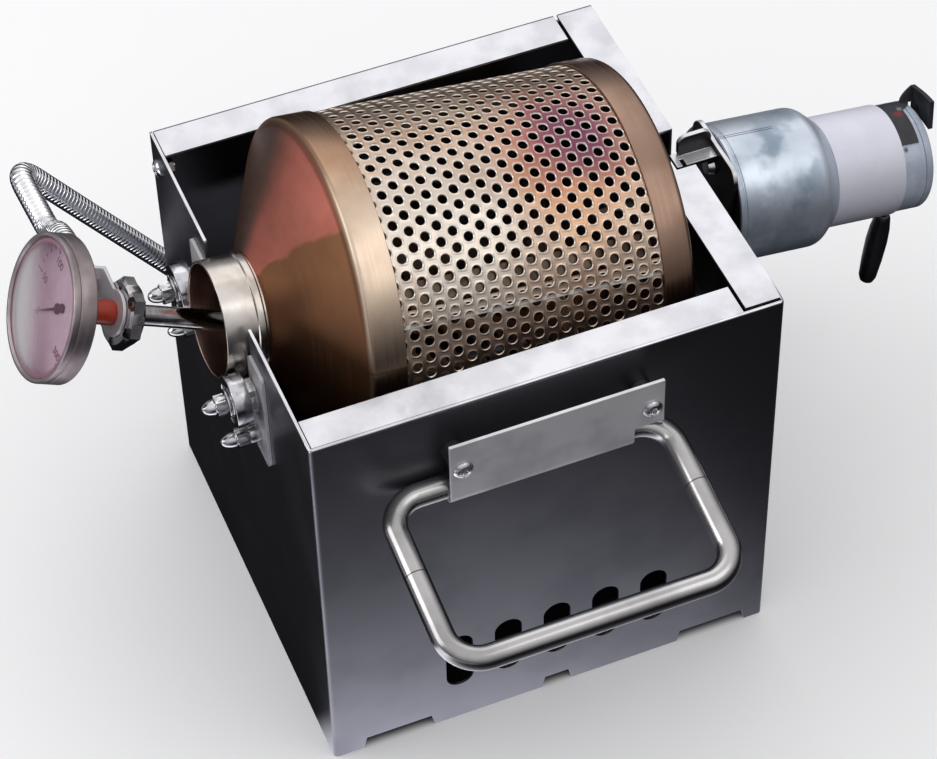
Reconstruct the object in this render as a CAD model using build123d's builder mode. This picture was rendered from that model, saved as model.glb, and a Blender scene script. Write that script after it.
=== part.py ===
from build123d import *
import os
from math import cos, hypot, pi, radians, sin, tan

os.makedirs("parts", exist_ok=True)

# Drum coffee roaster: a perforated drum turns over an open-bottomed steel box, driven by a
# gear motor at its closed end, with a dial thermometer on a gooseneck at its mouth.
# Millimetres. X runs along the drum from the mouth to the motor, the front is at -Y, Z is
# up, and the origin lies on the floor under the middle of the box.

# Clearances
fit = 0.1  # between pieces that are fastened together
running_fit = 0.05  # between a turning shaft and its hole
bolt_fit = 0.3  # round a bolt in its hole
air = 0.3  # between neighbours that move past each other

# Box of bent sheet
box_width = 200.0
box_depth = 191.0
box_height = 198.0
sheet = 1.2
bend_radius = 2.0
flange_width = 16.0
flange_relief = 1.6  # open corner between a flange and its neighbour
return_width = 15.0  # side returns of the back panel
front_centre = 2.4  # the pattern on the front panel sits a little off the middle

# Air slots and feet of the front panel
slot_count = 5
slot_pitch = 22.2
slot_width = 12.4
slot_length = 32.6
slot_height = 38.2
foot_height = 6.3
foot_length = 49.5
foot_gap = 14.0
side_gap = 32.5
foot_taper = 1.5

# Drum
drum_tilt = 7.2  # the mouth end stands higher
drum_height = 167.3  # of the axis above the floor, in the middle of the box
drum_radius = 75.0
drum_wall = 1.0
band_width = 14.0
cone_inset = 32.5  # of the cone's edge from the left side of the box, along the axis
cone_length = 24.5
rear_inset = 28.5  # of the drum's end from the right side
neck_radius = 24.4
neck_wall = 1.2
neck_tail = 4.0  # of the neck inside the cone
mouth_reach = 9.8  # of the neck out of the box
bead_height = 0.8
bead_width = 2.6
bead_gap = 1.3  # between the neck's bead and the cone

# Perforated wall of the drum: a coarser pattern with the same share of open area
screen_wall = 0.8
ring_count = 9
holes_per_ring = 27
hole_size = 8.2

# Vanes, hub and shaft
vane_count = 4
vane_height = 12.0
vane_foot = 9.0
vane_wall = 1.0
vane_inset = 3.0  # from the bands
hub_radius = 8.0
hub_flange_radius = 20.0
hub_flange = 3.0
hub_length = 27.0
hub_screw_circle = 14.0
shaft_radius = 4.0
shaft_inset = 8.5  # of the shaft's end in the hub

# Rollers: ball bearings on bolts, one each side of the neck
notch_gap = 2.1  # round the neck
roller_radius = 11.0
roller_width = 7.0
roller_bore = 4.0
roller_angle = 21.3  # below the level of the neck's axis
roller_gap = 0.5
roller_float = 0.2
roller_nut_height = 4.0
washer_radius = 6.0
washer_height = 1.0
bolt_flats = 13.0
bolt_head = 5.3
bolt_thread = 2.5  # beyond the bolt's shoulder
cap_flats = 8.0
cap_hex = 4.6
cap_height = 10.3
strap_width = 16.9
strap_wall = 1.5
strap_top = 185.6
strap_bottom = 133.0
strap_corner = 3.0
strap_screw_shift = 2.2  # of its screw from the strap's middle, towards the neck
strap_screw_z = 145.0
strap_cap_flats = 8.0
strap_cap_hex = 10.0
strap_cap_height = 16.4

# Small screws and nuts
screw_radius = 2.0
screw_head_radius = 4.2
screw_head = 2.4
nut_flats = 7.0
nut_height = 3.2
screw_tail = 1.0  # past its nut
panel_screw_inset = 8.8  # from the back face
panel_screw_height = 185.0

# Handle and its plate
rod_radius = 5.0
handle_centre = -13.7
handle_length = 118.4
handle_reach = 75.1
handle_corner = 14.0
handle_droop = 10.4
bar_height = 159.5
bar_gap = 0.3  # between the bar and the front panel
bar_fit = 0.2  # between the bar and the plate's hem
plate_centre = -2.3
plate_length = 90.6
plate_wall = 1.5
plate_top = 188.6
hem_end = -50.0  # degrees, where the hem under the bar stops
plate_notch_length = 12.6
plate_notch_top = 165.4
plate_screw_spacing = 80.0
plate_screw_height = 174.5
spacer_radius = 4.5

# Gear motor, on an axis beside the drum's
motor_offset = 11.7
gear_radius = 30.0
gear_gap = 12.4  # from the right side of the box
gear_length = 41.5
gear_chamfer = 7.3
lip_wall = 1.6
gear_plate_wall = 3.0
boss_radius = 7.5
boss_length = 8.6
can_radius = 23.2
motor_length = 91.2  # of gear head and can together
sleeve_wall = 0.7
bare_end = 10.3  # of the can, past its sleeve
cap_wall = 3.6
tape_wall = 0.5
tape_length = 8.0
tape_sweep = 65.0
tape_turn = -2.5  # of its middle from the top, towards the back
boot_width = 16.0
boot_length = 11.0
boot_height = 6.5
boot_turn = 10.0
gear_screw_circle = 17.0

# Bracket between motor and box
bracket_wall = 2.0
bracket_width = 40.0
bracket_corner = 6.0
bracket_top = 40.0  # above the drum's axis
bracket_foot_top = 134.0
bracket_foot_bottom = 108.0
bracket_screw_spacing = 26.0
bracket_screw_height = 118.0
shaft_notch = 11.5
hook_width = 8.0
hook_middle = 1.0
hook_lap = 4.0  # over the box's flange
hook_drop = 8.0  # below the top of the box
hook_rise = 10.0
hook_round = 4.0
hook_slit = 1.8

# Motor lead, hanging behind the can from under its boot, and the socket on its end
lead_radius = 2.0
lead_points = (
    (213.02, 7.9, 174.06),
    (212.1, 5.2, 166.7),
    (212.4, 8.5, 154.0),
    (213.2, 16.0, 140.0),
    (214.6, 22.0, 124.0),
    (213.9, 22.8, 106.2),
    (211.8, 22.1, 94.4),
)
socket_radius = 4.6
socket_length = 30.0
socket_relief = 8.0
socket_bore = 2.75
socket_bore_depth = 9.0
socket_pin = 1.0

# Thermometer, its dial in front of the mouth and its probe through it
probe_tilt = 27.8
dial_reach = 74.8  # in front of the box
dial_rise = 36.267  # above the neck's axis at the box
dial_radius = 29.6
case_depth = 11.0
case_wall = 1.0
bezel_depth = 3.0
bezel_lip = 2.6
glass_wall = 1.5
glass_set = 1.2
dial_set = 8.0
dial_wall = 0.6
hub_back = 15.0
hub_front_radius = 11.0
hub_back_radius = 8.0
cover_radius = 5.0
cover_end = 31.5
holder_wall = 1.5
holder_radius = 9.5
holder_width = 14.0
holder_ear = 20.0
holder_bend = 6.0  # of the gooseneck's stud from the holder's face, towards the dial
probe_nut_height = 6.7
probe_nut_flats = 26.0
probe_radius = 4.25
probe_end = 134.6
needle_length = 21.0
needle_tail = 6.0
needle_width = 1.8
needle_wall = 0.5
needle_hub = 2.2
needle_angle = -44.0
pivot_radius = 0.8

# Gooseneck, from a ledge behind the box to the holder
goose_radius = 5.0
goose_groove = 0.7
goose_bore = 3.0
goose_ribs = 30
goose_inset = 24.0  # of its base from the left side of the box
goose_back = 10.5  # of its base behind the box
goose_rise = 80.0
goose_top = (57.0, 9.0, 193.4)  # in front of the box, behind it, and above the floor
goose_dip = (53.5, 66.0, 187.5)  # in front of the box, behind the dial, and above the floor
goose_bends = (36.0, 14.0, 30.0, 18.0)
goose_run_out = 18.0  # from the last bend's corner to the ferrule
goose_split = 88  # section where the second half of the loft takes over
ferrule_radius = 6.2
ferrule_length = 10.0
stud_radius = 3.0
stud_nut_flats = 10.0
stud_nut_height = 4.0
ledge_height = 44.0
ledge_wall = 2.0
ledge_width = 30.0
ledge_rise = 36.0
ledge_reach = 21.0
ledge_screw_spacing = 18.0
ledge_screw_height = 70.0

# Planes of the box's faces, each with its normal outwards and Z up the face
left_face = Plane((-box_width / 2, 0, 0), x_dir=(0, -1, 0), z_dir=(-1, 0, 0))
right_face = Plane((box_width / 2, 0, 0), x_dir=(0, 1, 0), z_dir=(1, 0, 0))
front_face = Plane((0, -box_depth / 2, 0), x_dir=(1, 0, 0), z_dir=(0, -1, 0))
back_face = Plane((0, box_depth / 2, 0), x_dir=(-1, 0, 0), z_dir=(0, 1, 0))


def neck_height(x):
    """Height of the drum's axis above the floor at X."""
    return drum_height - x * tan(radians(drum_tilt))


# Stations along the drum's and the motor's axes
mouth = -box_width / 2 - mouth_reach
cone_edge = -box_width / 2 + cone_inset
rear_edge = box_width / 2 - rear_inset
shaft_start = rear_edge + shaft_inset
gear_front = box_width / 2 + gear_gap
gear_back = gear_front + gear_length
boss_front = gear_front - boss_length
can_end = gear_front + motor_length
sleeve_end = can_end - bare_end

# Axes of the drum, the motor and the thermometer. On each side plane a profile is drawn as
# (radius, station along the axis).
dial_x = -box_width / 2 - dial_reach
dial_height = neck_height(-box_width / 2) + dial_rise
drum_along = Vector(cos(radians(drum_tilt)), 0, -sin(radians(drum_tilt)))
drum_up = Vector(sin(radians(drum_tilt)), 0, cos(radians(drum_tilt)))
drum_origin = Vector(0, 0, drum_height)
motor_origin = drum_origin + drum_up * motor_offset
probe_along = Vector(cos(radians(probe_tilt)), 0, -sin(radians(probe_tilt)))
dial_origin = Vector(dial_x, 0, dial_height)
drum_axis = Axis(drum_origin, drum_along)
motor_axis = Axis(motor_origin, drum_along)
probe_axis = Axis(dial_origin, probe_along)
drum_side = Plane(drum_origin, x_dir=(0, 1, 0), z_dir=(drum_along.Z, 0, -drum_along.X))
motor_side = Plane(motor_origin, x_dir=(0, 1, 0), z_dir=(drum_along.Z, 0, -drum_along.X))
probe_side = Plane(dial_origin, x_dir=(0, 1, 0), z_dir=(probe_along.Z, 0, -probe_along.X))


def across(origin, along, station):
    """Plane square to an axis at a station, with its local X to the back."""
    return Plane(origin + along * station, x_dir=(0, 1, 0), z_dir=along)


def on(plane, x, y, out=0):
    """The plane moved to a point of itself, and outwards."""
    return Plane(plane.location * Pos(x, y, out))


def pan_screw(length):
    """Pan-head screw with its head on XY and its shank below."""
    with BuildPart() as screw:
        with BuildSketch(Plane.XZ):
            with BuildLine():
                Polyline(
                    (0, -length),
                    (screw_radius, -length),
                    (screw_radius, 0),
                    (screw_head_radius, 0),
                    (screw_head_radius * 0.75, screw_head),
                    (0, screw_head),
                    close=True,
                )
            make_face()
        revolve(axis=Axis.Z)
    return screw.part


def hex_nut(flats, height, bore):
    """Hexagon nut standing on XY."""
    with BuildPart() as nut:
        with BuildSketch():
            RegularPolygon(flats / 2, 6, major_radius=False)
            Circle(bore, mode=Mode.SUBTRACT)
        extrude(amount=height)
    return nut.part


def cap_nut(flats, hexagon, height, bore):
    """Cap nut standing on XY: a hexagon under a dome, with a blind hole."""
    with BuildPart() as nut:
        with BuildSketch():
            RegularPolygon(flats / 2, 6, major_radius=False)
        extrude(amount=hexagon)
        with BuildSketch(Plane.XZ):
            with BuildLine():
                Polyline(
                    (0, hexagon),
                    (flats / 2, hexagon),
                    (flats * 0.36, hexagon + (height - hexagon) * 0.7),
                    (0, height),
                    close=True,
                )
            make_face()
        revolve(axis=Axis.Z)
        with BuildSketch():
            Circle(bore)
        extrude(amount=hexagon, mode=Mode.SUBTRACT)
    return nut.part


# Where the rollers, screws and bracket sit
notch_radius = neck_radius + notch_gap
strap_inner = notch_radius + air
strap_middle = strap_inner + strap_width / 2
strap_screw_y = strap_middle - strap_screw_shift
roller_seat = strap_wall + roller_nut_height + roller_float
roller_distance = neck_radius + roller_radius + roller_gap
roller_y = roller_distance * cos(radians(roller_angle))
roller_x = -box_width / 2 - roller_seat - roller_width / 2
roller_drop = roller_distance * sin(radians(roller_angle)) / cos(radians(drum_tilt))
roller_z = neck_height(roller_x) - roller_drop
roller_places = ((-roller_y, roller_z), (roller_y, roller_z))
strap_screw_places = ((-strap_screw_y, strap_screw_z), (strap_screw_y, strap_screw_z))
panel_screw_y = box_depth / 2 - panel_screw_inset
bar_y = -box_depth / 2 - bar_gap - rod_radius
plate_inside = rod_radius + bar_fit - bar_y - box_depth / 2  # from the front panel
plate_screw_places = (
    (plate_centre - plate_screw_spacing / 2, plate_screw_height),
    (plate_centre + plate_screw_spacing / 2, plate_screw_height),
)
bracket_screw_places = (
    (-bracket_screw_spacing / 2, bracket_screw_height),
    (bracket_screw_spacing / 2, bracket_screw_height),
)
hook_start = box_width / 2 - hook_lap
hook_height = box_height - hook_drop
goose_base = (-box_width / 2 + goose_inset, box_depth / 2 + goose_back)
goose_corners = (
    (*goose_base, goose_rise),
    (-box_width / 2 - goose_top[0], box_depth / 2 + goose_top[1], goose_top[2]),
    (-box_width / 2 - goose_dip[0], goose_dip[1], goose_dip[2]),
)
ledge_screw_places = (
    (-goose_base[0] - ledge_screw_spacing / 2, ledge_screw_height),
    (-goose_base[0] + ledge_screw_spacing / 2, ledge_screw_height),
)
screw_hole = screw_radius + bolt_fit
bolt_hole = roller_bore + bolt_fit
front_band_end = cone_edge + band_width
rear_band_start = rear_edge - band_width
cone_root = cone_edge - cone_length
shaft_height = neck_height(box_width / 2)
bracket_face = gear_front - 2 * fit

# Box

with BuildPart() as body_wrap:
    with BuildSketch() as plan:
        Rectangle(box_width, box_depth)
        fillet(plan.vertices().group_by(Axis.Y)[0], bend_radius)
        with Locations((0, sheet)):
            Rectangle(box_width - 2 * sheet, box_depth, mode=Mode.SUBTRACT)
    extrude(amount=box_height)
    front_flange_start = -box_width / 2 + flange_relief
    right_flange_edge = box_width / 2 - flange_width
    with BuildSketch(Plane.XY.offset(box_height - sheet)):
        with Locations((front_flange_start, -box_depth / 2 + bend_radius)):
            Rectangle(
                right_flange_edge - flange_relief - front_flange_start,
                flange_width - bend_radius,
                align=Align.MIN,
            )
        with Locations((front_flange_start, -box_depth / 2 + sheet / 2)):
            Rectangle(right_flange_edge - flange_relief - front_flange_start, bend_radius, align=Align.MIN)
        with Locations((right_flange_edge, -box_depth / 2 + sheet + flange_relief)):
            Rectangle(flange_width - sheet / 2, box_depth - sheet - flange_relief, align=Align.MIN)
    extrude(amount=sheet)
    with BuildSketch(left_face):
        with Locations((0, neck_height(-box_width / 2))):
            Circle(notch_radius)
            Rectangle(2 * notch_radius, box_height, align=(Align.CENTER, Align.MIN))
        with Locations(*roller_places):
            Circle(bolt_hole)
        with Locations(*strap_screw_places):
            Circle(screw_hole)
        with Locations((-panel_screw_y, panel_screw_height)):
            Circle(screw_hole)
    extrude(amount=-2 * sheet, mode=Mode.SUBTRACT)
    with BuildSketch(right_face):
        with Locations((0, shaft_height)):
            Circle(shaft_notch)
            Rectangle(2 * shaft_notch, box_height, align=(Align.CENTER, Align.MIN))
    extrude(amount=-flange_width - sheet, mode=Mode.SUBTRACT)
    with BuildSketch(right_face):
        with Locations((panel_screw_y, panel_screw_height)):
            Circle(screw_hole)
        with Locations(*bracket_screw_places):
            Circle(screw_hole)
    extrude(amount=-2 * sheet, mode=Mode.SUBTRACT)
    with BuildSketch(front_face):
        with Locations((front_centre, slot_height)):
            with GridLocations(slot_pitch, 0, slot_count, 1):
                SlotOverall(slot_length, slot_width, rotation=90)
        side_middle = (foot_gap + side_gap) / 2 + foot_length
        for middle, gap in ((-side_middle, side_gap), (0, foot_gap), (side_middle, side_gap)):
            with BuildLine():
                Polyline(
                    (front_centre + middle - gap / 2, 0),
                    (front_centre + middle - gap / 2 + foot_taper, foot_height),
                    (front_centre + middle + gap / 2 - foot_taper, foot_height),
                    (front_centre + middle + gap / 2, 0),
                    close=True,
                )
            make_face()
        with Locations(*plate_screw_places):
            Circle(screw_hole)
    extrude(amount=-2 * sheet, mode=Mode.SUBTRACT)
body_wrap.part.label = "body_wrap"
export_step(body_wrap.part, "parts/body_wrap.step")

with BuildPart() as back_panel:
    inside = box_width - 2 * sheet - 2 * fit
    with BuildSketch():
        with Locations((0, box_depth / 2)):
            Rectangle(inside, return_width, align=(Align.CENTER, Align.MAX))
        with Locations((0, box_depth / 2 - sheet)):
            Rectangle(inside - 2 * sheet, return_width, align=(Align.CENTER, Align.MAX), mode=Mode.SUBTRACT)
    extrude(amount=box_height - sheet - flange_relief)
    with BuildSketch(Plane.XY.offset(box_height - sheet)):
        with Locations((front_flange_start, box_depth / 2)):
            Rectangle(
                right_flange_edge - flange_relief - front_flange_start,
                flange_width,
                align=(Align.MIN, Align.MAX),
            )
    extrude(amount=sheet)
    with BuildSketch(Plane.XY.offset(box_height - 2 * sheet - flange_relief)):
        with Locations((front_flange_start, box_depth / 2)):
            Rectangle(
                right_flange_edge - flange_relief - front_flange_start,
                sheet,
                align=(Align.MIN, Align.MAX),
            )
    extrude(amount=2 * sheet + flange_relief)
    with BuildSketch(left_face.offset(-sheet - fit)):
        with Locations((-panel_screw_y, panel_screw_height)):
            Circle(screw_hole)
    extrude(amount=-inside, mode=Mode.SUBTRACT)
    with BuildSketch(back_face):
        with Locations(*ledge_screw_places):
            Circle(screw_hole)
    extrude(amount=-2 * sheet, mode=Mode.SUBTRACT)
back_panel.part.label = "back_panel"
export_step(back_panel.part, "parts/back_panel.step")

panel_stack = 2 * sheet + fit
panel_screw = pan_screw(panel_stack + nut_height + screw_tail)
small_nut = hex_nut(nut_flats, nut_height, screw_radius + running_fit)
with BuildPart() as panel_screws:
    with Locations(
        on(left_face, -panel_screw_y, panel_screw_height, fit),
        on(right_face, panel_screw_y, panel_screw_height, fit),
    ):
        add(panel_screw)
panel_screws.part.label = "panel_screws"
export_step(panel_screws.part, "parts/panel_screws.step")

nut_seat = -panel_stack - fit - nut_height
with BuildPart() as panel_nuts:
    with Locations(
        on(left_face, -panel_screw_y, panel_screw_height, nut_seat),
        on(right_face, panel_screw_y, panel_screw_height, nut_seat),
    ):
        add(small_nut)
panel_nuts.part.label = "panel_nuts"
export_step(panel_nuts.part, "parts/panel_nuts.step")

# Handle

with BuildPart() as handle_plate:
    with BuildSketch(Plane.YZ.offset(plate_centre - plate_length / 2)):
        with BuildLine():
            hem_inside = rod_radius + bar_fit
            hem_outside = hem_inside + plate_wall
            inner = CenterArc((bar_y, bar_height), hem_inside, 180, 180 + hem_end)
            outer = CenterArc((bar_y, bar_height), hem_outside, 180, 180 + hem_end)
            Line(inner @ 1, outer @ 1)
            Polyline(
                inner @ 0,
                (bar_y - hem_inside, plate_top),
                (bar_y - hem_outside, plate_top),
                outer @ 0,
            )
        make_face()
    extrude(amount=plate_length)
    with BuildSketch(front_face):
        with Locations((plate_centre + plate_length / 2, plate_notch_top)):
            Rectangle(plate_notch_length, 2 * hem_outside + plate_notch_top - bar_height, align=Align.MAX)
        with Locations(*plate_screw_places):
            Circle(screw_hole)
    extrude(amount=2 * hem_outside, mode=Mode.SUBTRACT)
handle_plate.part.label = "handle_plate"
export_step(handle_plate.part, "parts/handle_plate.step")

plate_screw = pan_screw(plate_inside + plate_wall + sheet + nut_height + screw_tail)
plate_outside = plate_inside + plate_wall
with BuildPart() as plate_screws:
    with Locations(*[on(front_face, x, z, plate_outside + fit) for x, z in plate_screw_places]):
        add(plate_screw)
plate_screws.part.label = "plate_screws"
export_step(plate_screws.part, "parts/plate_screws.step")

with BuildPart() as plate_spacers:
    with BuildSketch(front_face.offset(fit)):
        with Locations(*plate_screw_places):
            Circle(spacer_radius)
            Circle(screw_hole, mode=Mode.SUBTRACT)
    extrude(amount=plate_inside - 2 * fit)
plate_spacers.part.label = "plate_spacers"
export_step(plate_spacers.part, "parts/plate_spacers.step")

with BuildPart() as plate_nuts:
    with Locations(*[on(front_face, x, z, -sheet - fit - nut_height) for x, z in plate_screw_places]):
        add(small_nut)
plate_nuts.part.label = "plate_nuts"
export_step(plate_nuts.part, "parts/plate_nuts.step")

droop = radians(handle_droop)
handle_plane = Plane(
    (handle_centre, bar_y, bar_height),
    x_dir=(1, 0, 0),
    z_dir=(0, sin(droop), -cos(droop)),
)
with BuildPart() as handle:
    with BuildLine(handle_plane) as loop:
        FilletPolyline(
            (-handle_length / 2, 0),
            (handle_length / 2, 0),
            (handle_length / 2, handle_reach),
            (-handle_length / 2, handle_reach),
            radius=handle_corner,
            close=True,
        )
    with BuildSketch(Plane(loop.line @ 0, z_dir=loop.line % 0)):
        Circle(rod_radius)
    sweep(path=loop.line)
handle.part.label = "handle"
export_step(handle.part, "parts/handle.step")

# Straps and rollers beside the mouth

with BuildPart() as roller_straps:
    with BuildSketch(left_face.offset(fit)) as straps:
        with Locations((-strap_middle, strap_bottom), (strap_middle, strap_bottom)):
            Rectangle(strap_width, strap_top - strap_bottom, align=(Align.CENTER, Align.MIN))
        fillet(straps.vertices(), strap_corner)
        with Locations(*roller_places):
            Circle(bolt_hole, mode=Mode.SUBTRACT)
        with Locations(*strap_screw_places):
            Circle(screw_hole, mode=Mode.SUBTRACT)
    extrude(amount=strap_wall - fit)
roller_straps.part.label = "roller_straps"
export_step(roller_straps.part, "parts/roller_straps.step")

washer_seat = roller_seat + roller_width + roller_float
with BuildPart() as roller_bolts:
    with BuildSketch(left_face.offset(-sheet - fit)):
        with Locations(*roller_places):
            RegularPolygon(bolt_flats / 2, 6, major_radius=False)
    extrude(amount=-bolt_head)
    with BuildSketch(left_face.offset(-sheet - fit - bolt_head / 2)):
        with Locations(*roller_places):
            Circle(roller_bore - running_fit)
    extrude(amount=sheet + bolt_head / 2 + washer_seat)
    with BuildSketch(left_face.offset(washer_seat - sheet)):
        with Locations(*roller_places):
            Circle(bolt_thread - running_fit)
    extrude(amount=sheet + washer_height + cap_hex - fit)
roller_bolts.part.label = "roller_bolts"
export_step(roller_bolts.part, "parts/roller_bolts.step")

roller_nut = hex_nut(bolt_flats, roller_nut_height - fit, roller_bore)
with BuildPart() as roller_nuts:
    with Locations(*[on(left_face, x, z, strap_wall + fit) for x, z in roller_places]):
        add(roller_nut)
roller_nuts.part.label = "roller_nuts"
export_step(roller_nuts.part, "parts/roller_nuts.step")

with BuildPart() as front_roller:
    with BuildSketch(on(left_face, *roller_places[1], roller_seat)):
        Circle(roller_radius)
        Circle(roller_bore, mode=Mode.SUBTRACT)
    extrude(amount=roller_width)
front_roller.part.label = "front_roller"
export_step(front_roller.part, "parts/front_roller.step")

with BuildPart() as back_roller:
    with BuildSketch(on(left_face, *roller_places[0], roller_seat)):
        Circle(roller_radius)
        Circle(roller_bore, mode=Mode.SUBTRACT)
    extrude(amount=roller_width)
back_roller.part.label = "back_roller"
export_step(back_roller.part, "parts/back_roller.step")

with BuildPart() as roller_washers:
    with BuildSketch(left_face.offset(washer_seat)):
        with Locations(*roller_places):
            Circle(washer_radius)
            Circle(bolt_thread, mode=Mode.SUBTRACT)
    extrude(amount=washer_height)
roller_washers.part.label = "roller_washers"
export_step(roller_washers.part, "parts/roller_washers.step")

roller_cap = cap_nut(cap_flats, cap_hex + 2 * fit, cap_height, bolt_thread)
with BuildPart() as roller_caps:
    with Locations(*[on(left_face, x, z, washer_seat + washer_height + fit) for x, z in roller_places]):
        add(roller_cap)
roller_caps.part.label = "roller_caps"
export_step(roller_caps.part, "parts/roller_caps.step")

strap_screw = pan_screw(sheet + strap_wall + strap_cap_hex)
with BuildPart() as strap_screws:
    with Locations(*[on(left_face, x, z, -sheet - fit) for x, z in strap_screw_places]):
        with Locations(Location((0, 0, 0), (180, 0, 0))):
            add(strap_screw)
strap_screws.part.label = "strap_screws"
export_step(strap_screws.part, "parts/strap_screws.step")

strap_cap = cap_nut(strap_cap_flats, strap_cap_hex, strap_cap_height, screw_radius + running_fit)
with BuildPart() as strap_caps:
    with Locations(*[on(left_face, x, z, strap_wall + fit) for x, z in strap_screw_places]):
        add(strap_cap)
strap_caps.part.label = "strap_caps"
export_step(strap_caps.part, "parts/strap_caps.step")

# Drum

with BuildPart() as drum_neck:
    with BuildSketch(drum_side):
        with Locations((neck_radius - neck_wall, mouth)):
            Rectangle(neck_wall, cone_root + neck_tail - mouth, align=Align.MIN)
        with Locations((neck_radius - neck_wall / 2, cone_root - bead_gap)):
            Rectangle(neck_wall / 2 + bead_height, bead_width, align=(Align.MIN, Align.MAX))
    revolve(axis=drum_axis)
drum_neck.part.label = "drum_neck"
export_step(drum_neck.part, "parts/drum_neck.step")

cone_rise = drum_radius - neck_radius
cone_slant = hypot(cone_length, cone_rise)
wall_along = drum_wall * cone_slant / cone_rise  # of the cone's wall, measured along the axis
with BuildPart() as drum_front:
    with BuildSketch(drum_side):
        with BuildLine():
            Polyline(
                (neck_radius + fit, cone_root),
                (drum_radius, cone_edge),
                (drum_radius, front_band_end),
                (drum_radius - drum_wall, front_band_end),
                (drum_radius - drum_wall, cone_edge + wall_along - drum_wall * cone_length / cone_rise),
                (neck_radius + fit, cone_root + wall_along),
                close=True,
            )
        make_face()
    revolve(axis=drum_axis)
drum_front.part.label = "drum_front"
export_step(drum_front.part, "parts/drum_front.step")

screen_radius = drum_radius - drum_wall - fit
screen_start = cone_edge + wall_along
screen_end = rear_edge - drum_wall - fit
ring_pitch = (rear_band_start - front_band_end) / ring_count
with BuildPart() as drum_screen:
    with BuildSketch(drum_side):
        with Locations((screen_radius - screen_wall, screen_start)):
            Rectangle(screen_wall, screen_end - screen_start, align=Align.MIN)
    revolve(axis=drum_axis)
    for ring in range(ring_count):
        ring_plane = across(drum_origin, drum_along, front_band_end + (ring + 0.5) * ring_pitch)
        with Locations(ring_plane):
            with PolarLocations(screen_radius, holes_per_ring, start_angle=ring % 2 * 180 / holes_per_ring):
                Box(6 * screen_wall, hole_size, hole_size, mode=Mode.SUBTRACT)
drum_screen.part.label = "drum_screen"
export_step(drum_screen.part, "parts/drum_screen.step")

with BuildPart() as drum_rear:
    with BuildSketch(drum_side):
        with BuildLine():
            Polyline(
                (shaft_radius + bolt_fit, rear_edge),
                (drum_radius, rear_edge),
                (drum_radius, rear_band_start),
                (drum_radius - drum_wall, rear_band_start),
                (drum_radius - drum_wall, rear_edge - drum_wall),
                (shaft_radius + bolt_fit, rear_edge - drum_wall),
                close=True,
            )
        make_face()
    revolve(axis=drum_axis)
    with BuildSketch(across(drum_origin, drum_along, rear_edge)):
        with PolarLocations(hub_screw_circle, 4):
            Circle(screw_hole)
    extrude(amount=-2 * drum_wall, mode=Mode.SUBTRACT)
drum_rear.part.label = "drum_rear"
export_step(drum_rear.part, "parts/drum_rear.step")

vane_seat = (screen_radius - screen_wall - fit) * cos(vane_foot / (screen_radius - screen_wall))
with BuildPart() as drum_vanes:
    with BuildSketch(across(drum_origin, drum_along, front_band_end + vane_inset)):
        with PolarLocations(vane_seat, vane_count, start_angle=45):
            Rectangle(vane_wall, vane_foot, align=(Align.MAX, Align.MIN))
            Rectangle(vane_height, vane_wall, align=(Align.MAX, Align.MIN))
    extrude(amount=rear_band_start - front_band_end - 2 * vane_inset)
drum_vanes.part.label = "drum_vanes"
export_step(drum_vanes.part, "parts/drum_vanes.step")

with BuildPart() as drum_hub:
    hub_start = rear_edge + fit
    with BuildSketch(drum_side):
        with BuildLine():
            Polyline(
                (shaft_radius + running_fit, hub_start),
                (hub_flange_radius, hub_start),
                (hub_flange_radius, hub_start + hub_flange),
                (hub_radius, hub_start + hub_flange),
                (hub_radius, hub_start + hub_length),
                (shaft_radius + running_fit, hub_start + hub_length),
                close=True,
            )
        make_face()
    revolve(axis=drum_axis)
    with BuildSketch(across(drum_origin, drum_along, hub_start)):
        with PolarLocations(hub_screw_circle, 4):
            Circle(screw_hole)
    extrude(amount=hub_flange, mode=Mode.SUBTRACT)
drum_hub.part.label = "drum_hub"
export_step(drum_hub.part, "parts/drum_hub.step")

hub_screw = pan_screw(hub_flange + drum_wall + 2 * screw_radius)
hub_screw_plane = across(drum_origin, drum_along, hub_start + hub_flange + fit)
with BuildPart() as hub_screws:
    with Locations(hub_screw_plane):
        with PolarLocations(hub_screw_circle, 4):
            add(hub_screw)
hub_screws.part.label = "hub_screws"
export_step(hub_screws.part, "parts/hub_screws.step")

with BuildPart() as output_shaft:
    with BuildSketch(across(drum_origin, drum_along, shaft_start)):
        Circle(shaft_radius)
    extrude(amount=gear_front + gear_plate_wall - shaft_start)
output_shaft.part.label = "output_shaft"
export_step(output_shaft.part, "parts/output_shaft.step")

# Gear motor and its bracket

with BuildPart() as gear_cover:
    with BuildSketch(motor_side):
        with BuildLine():
            Polyline(
                (gear_radius - lip_wall, gear_front),
                (gear_radius, gear_front),
                (gear_radius, gear_back),
                (can_radius + sleeve_wall, gear_back + gear_chamfer),
                (0, gear_back + gear_chamfer),
                (0, gear_front + gear_plate_wall + 2 * fit),
                (gear_radius - lip_wall, gear_front + gear_plate_wall + 2 * fit),
                close=True,
            )
        make_face()
    revolve(axis=motor_axis)
gear_cover.part.label = "gear_cover"
export_step(gear_cover.part, "parts/gear_cover.step")

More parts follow.
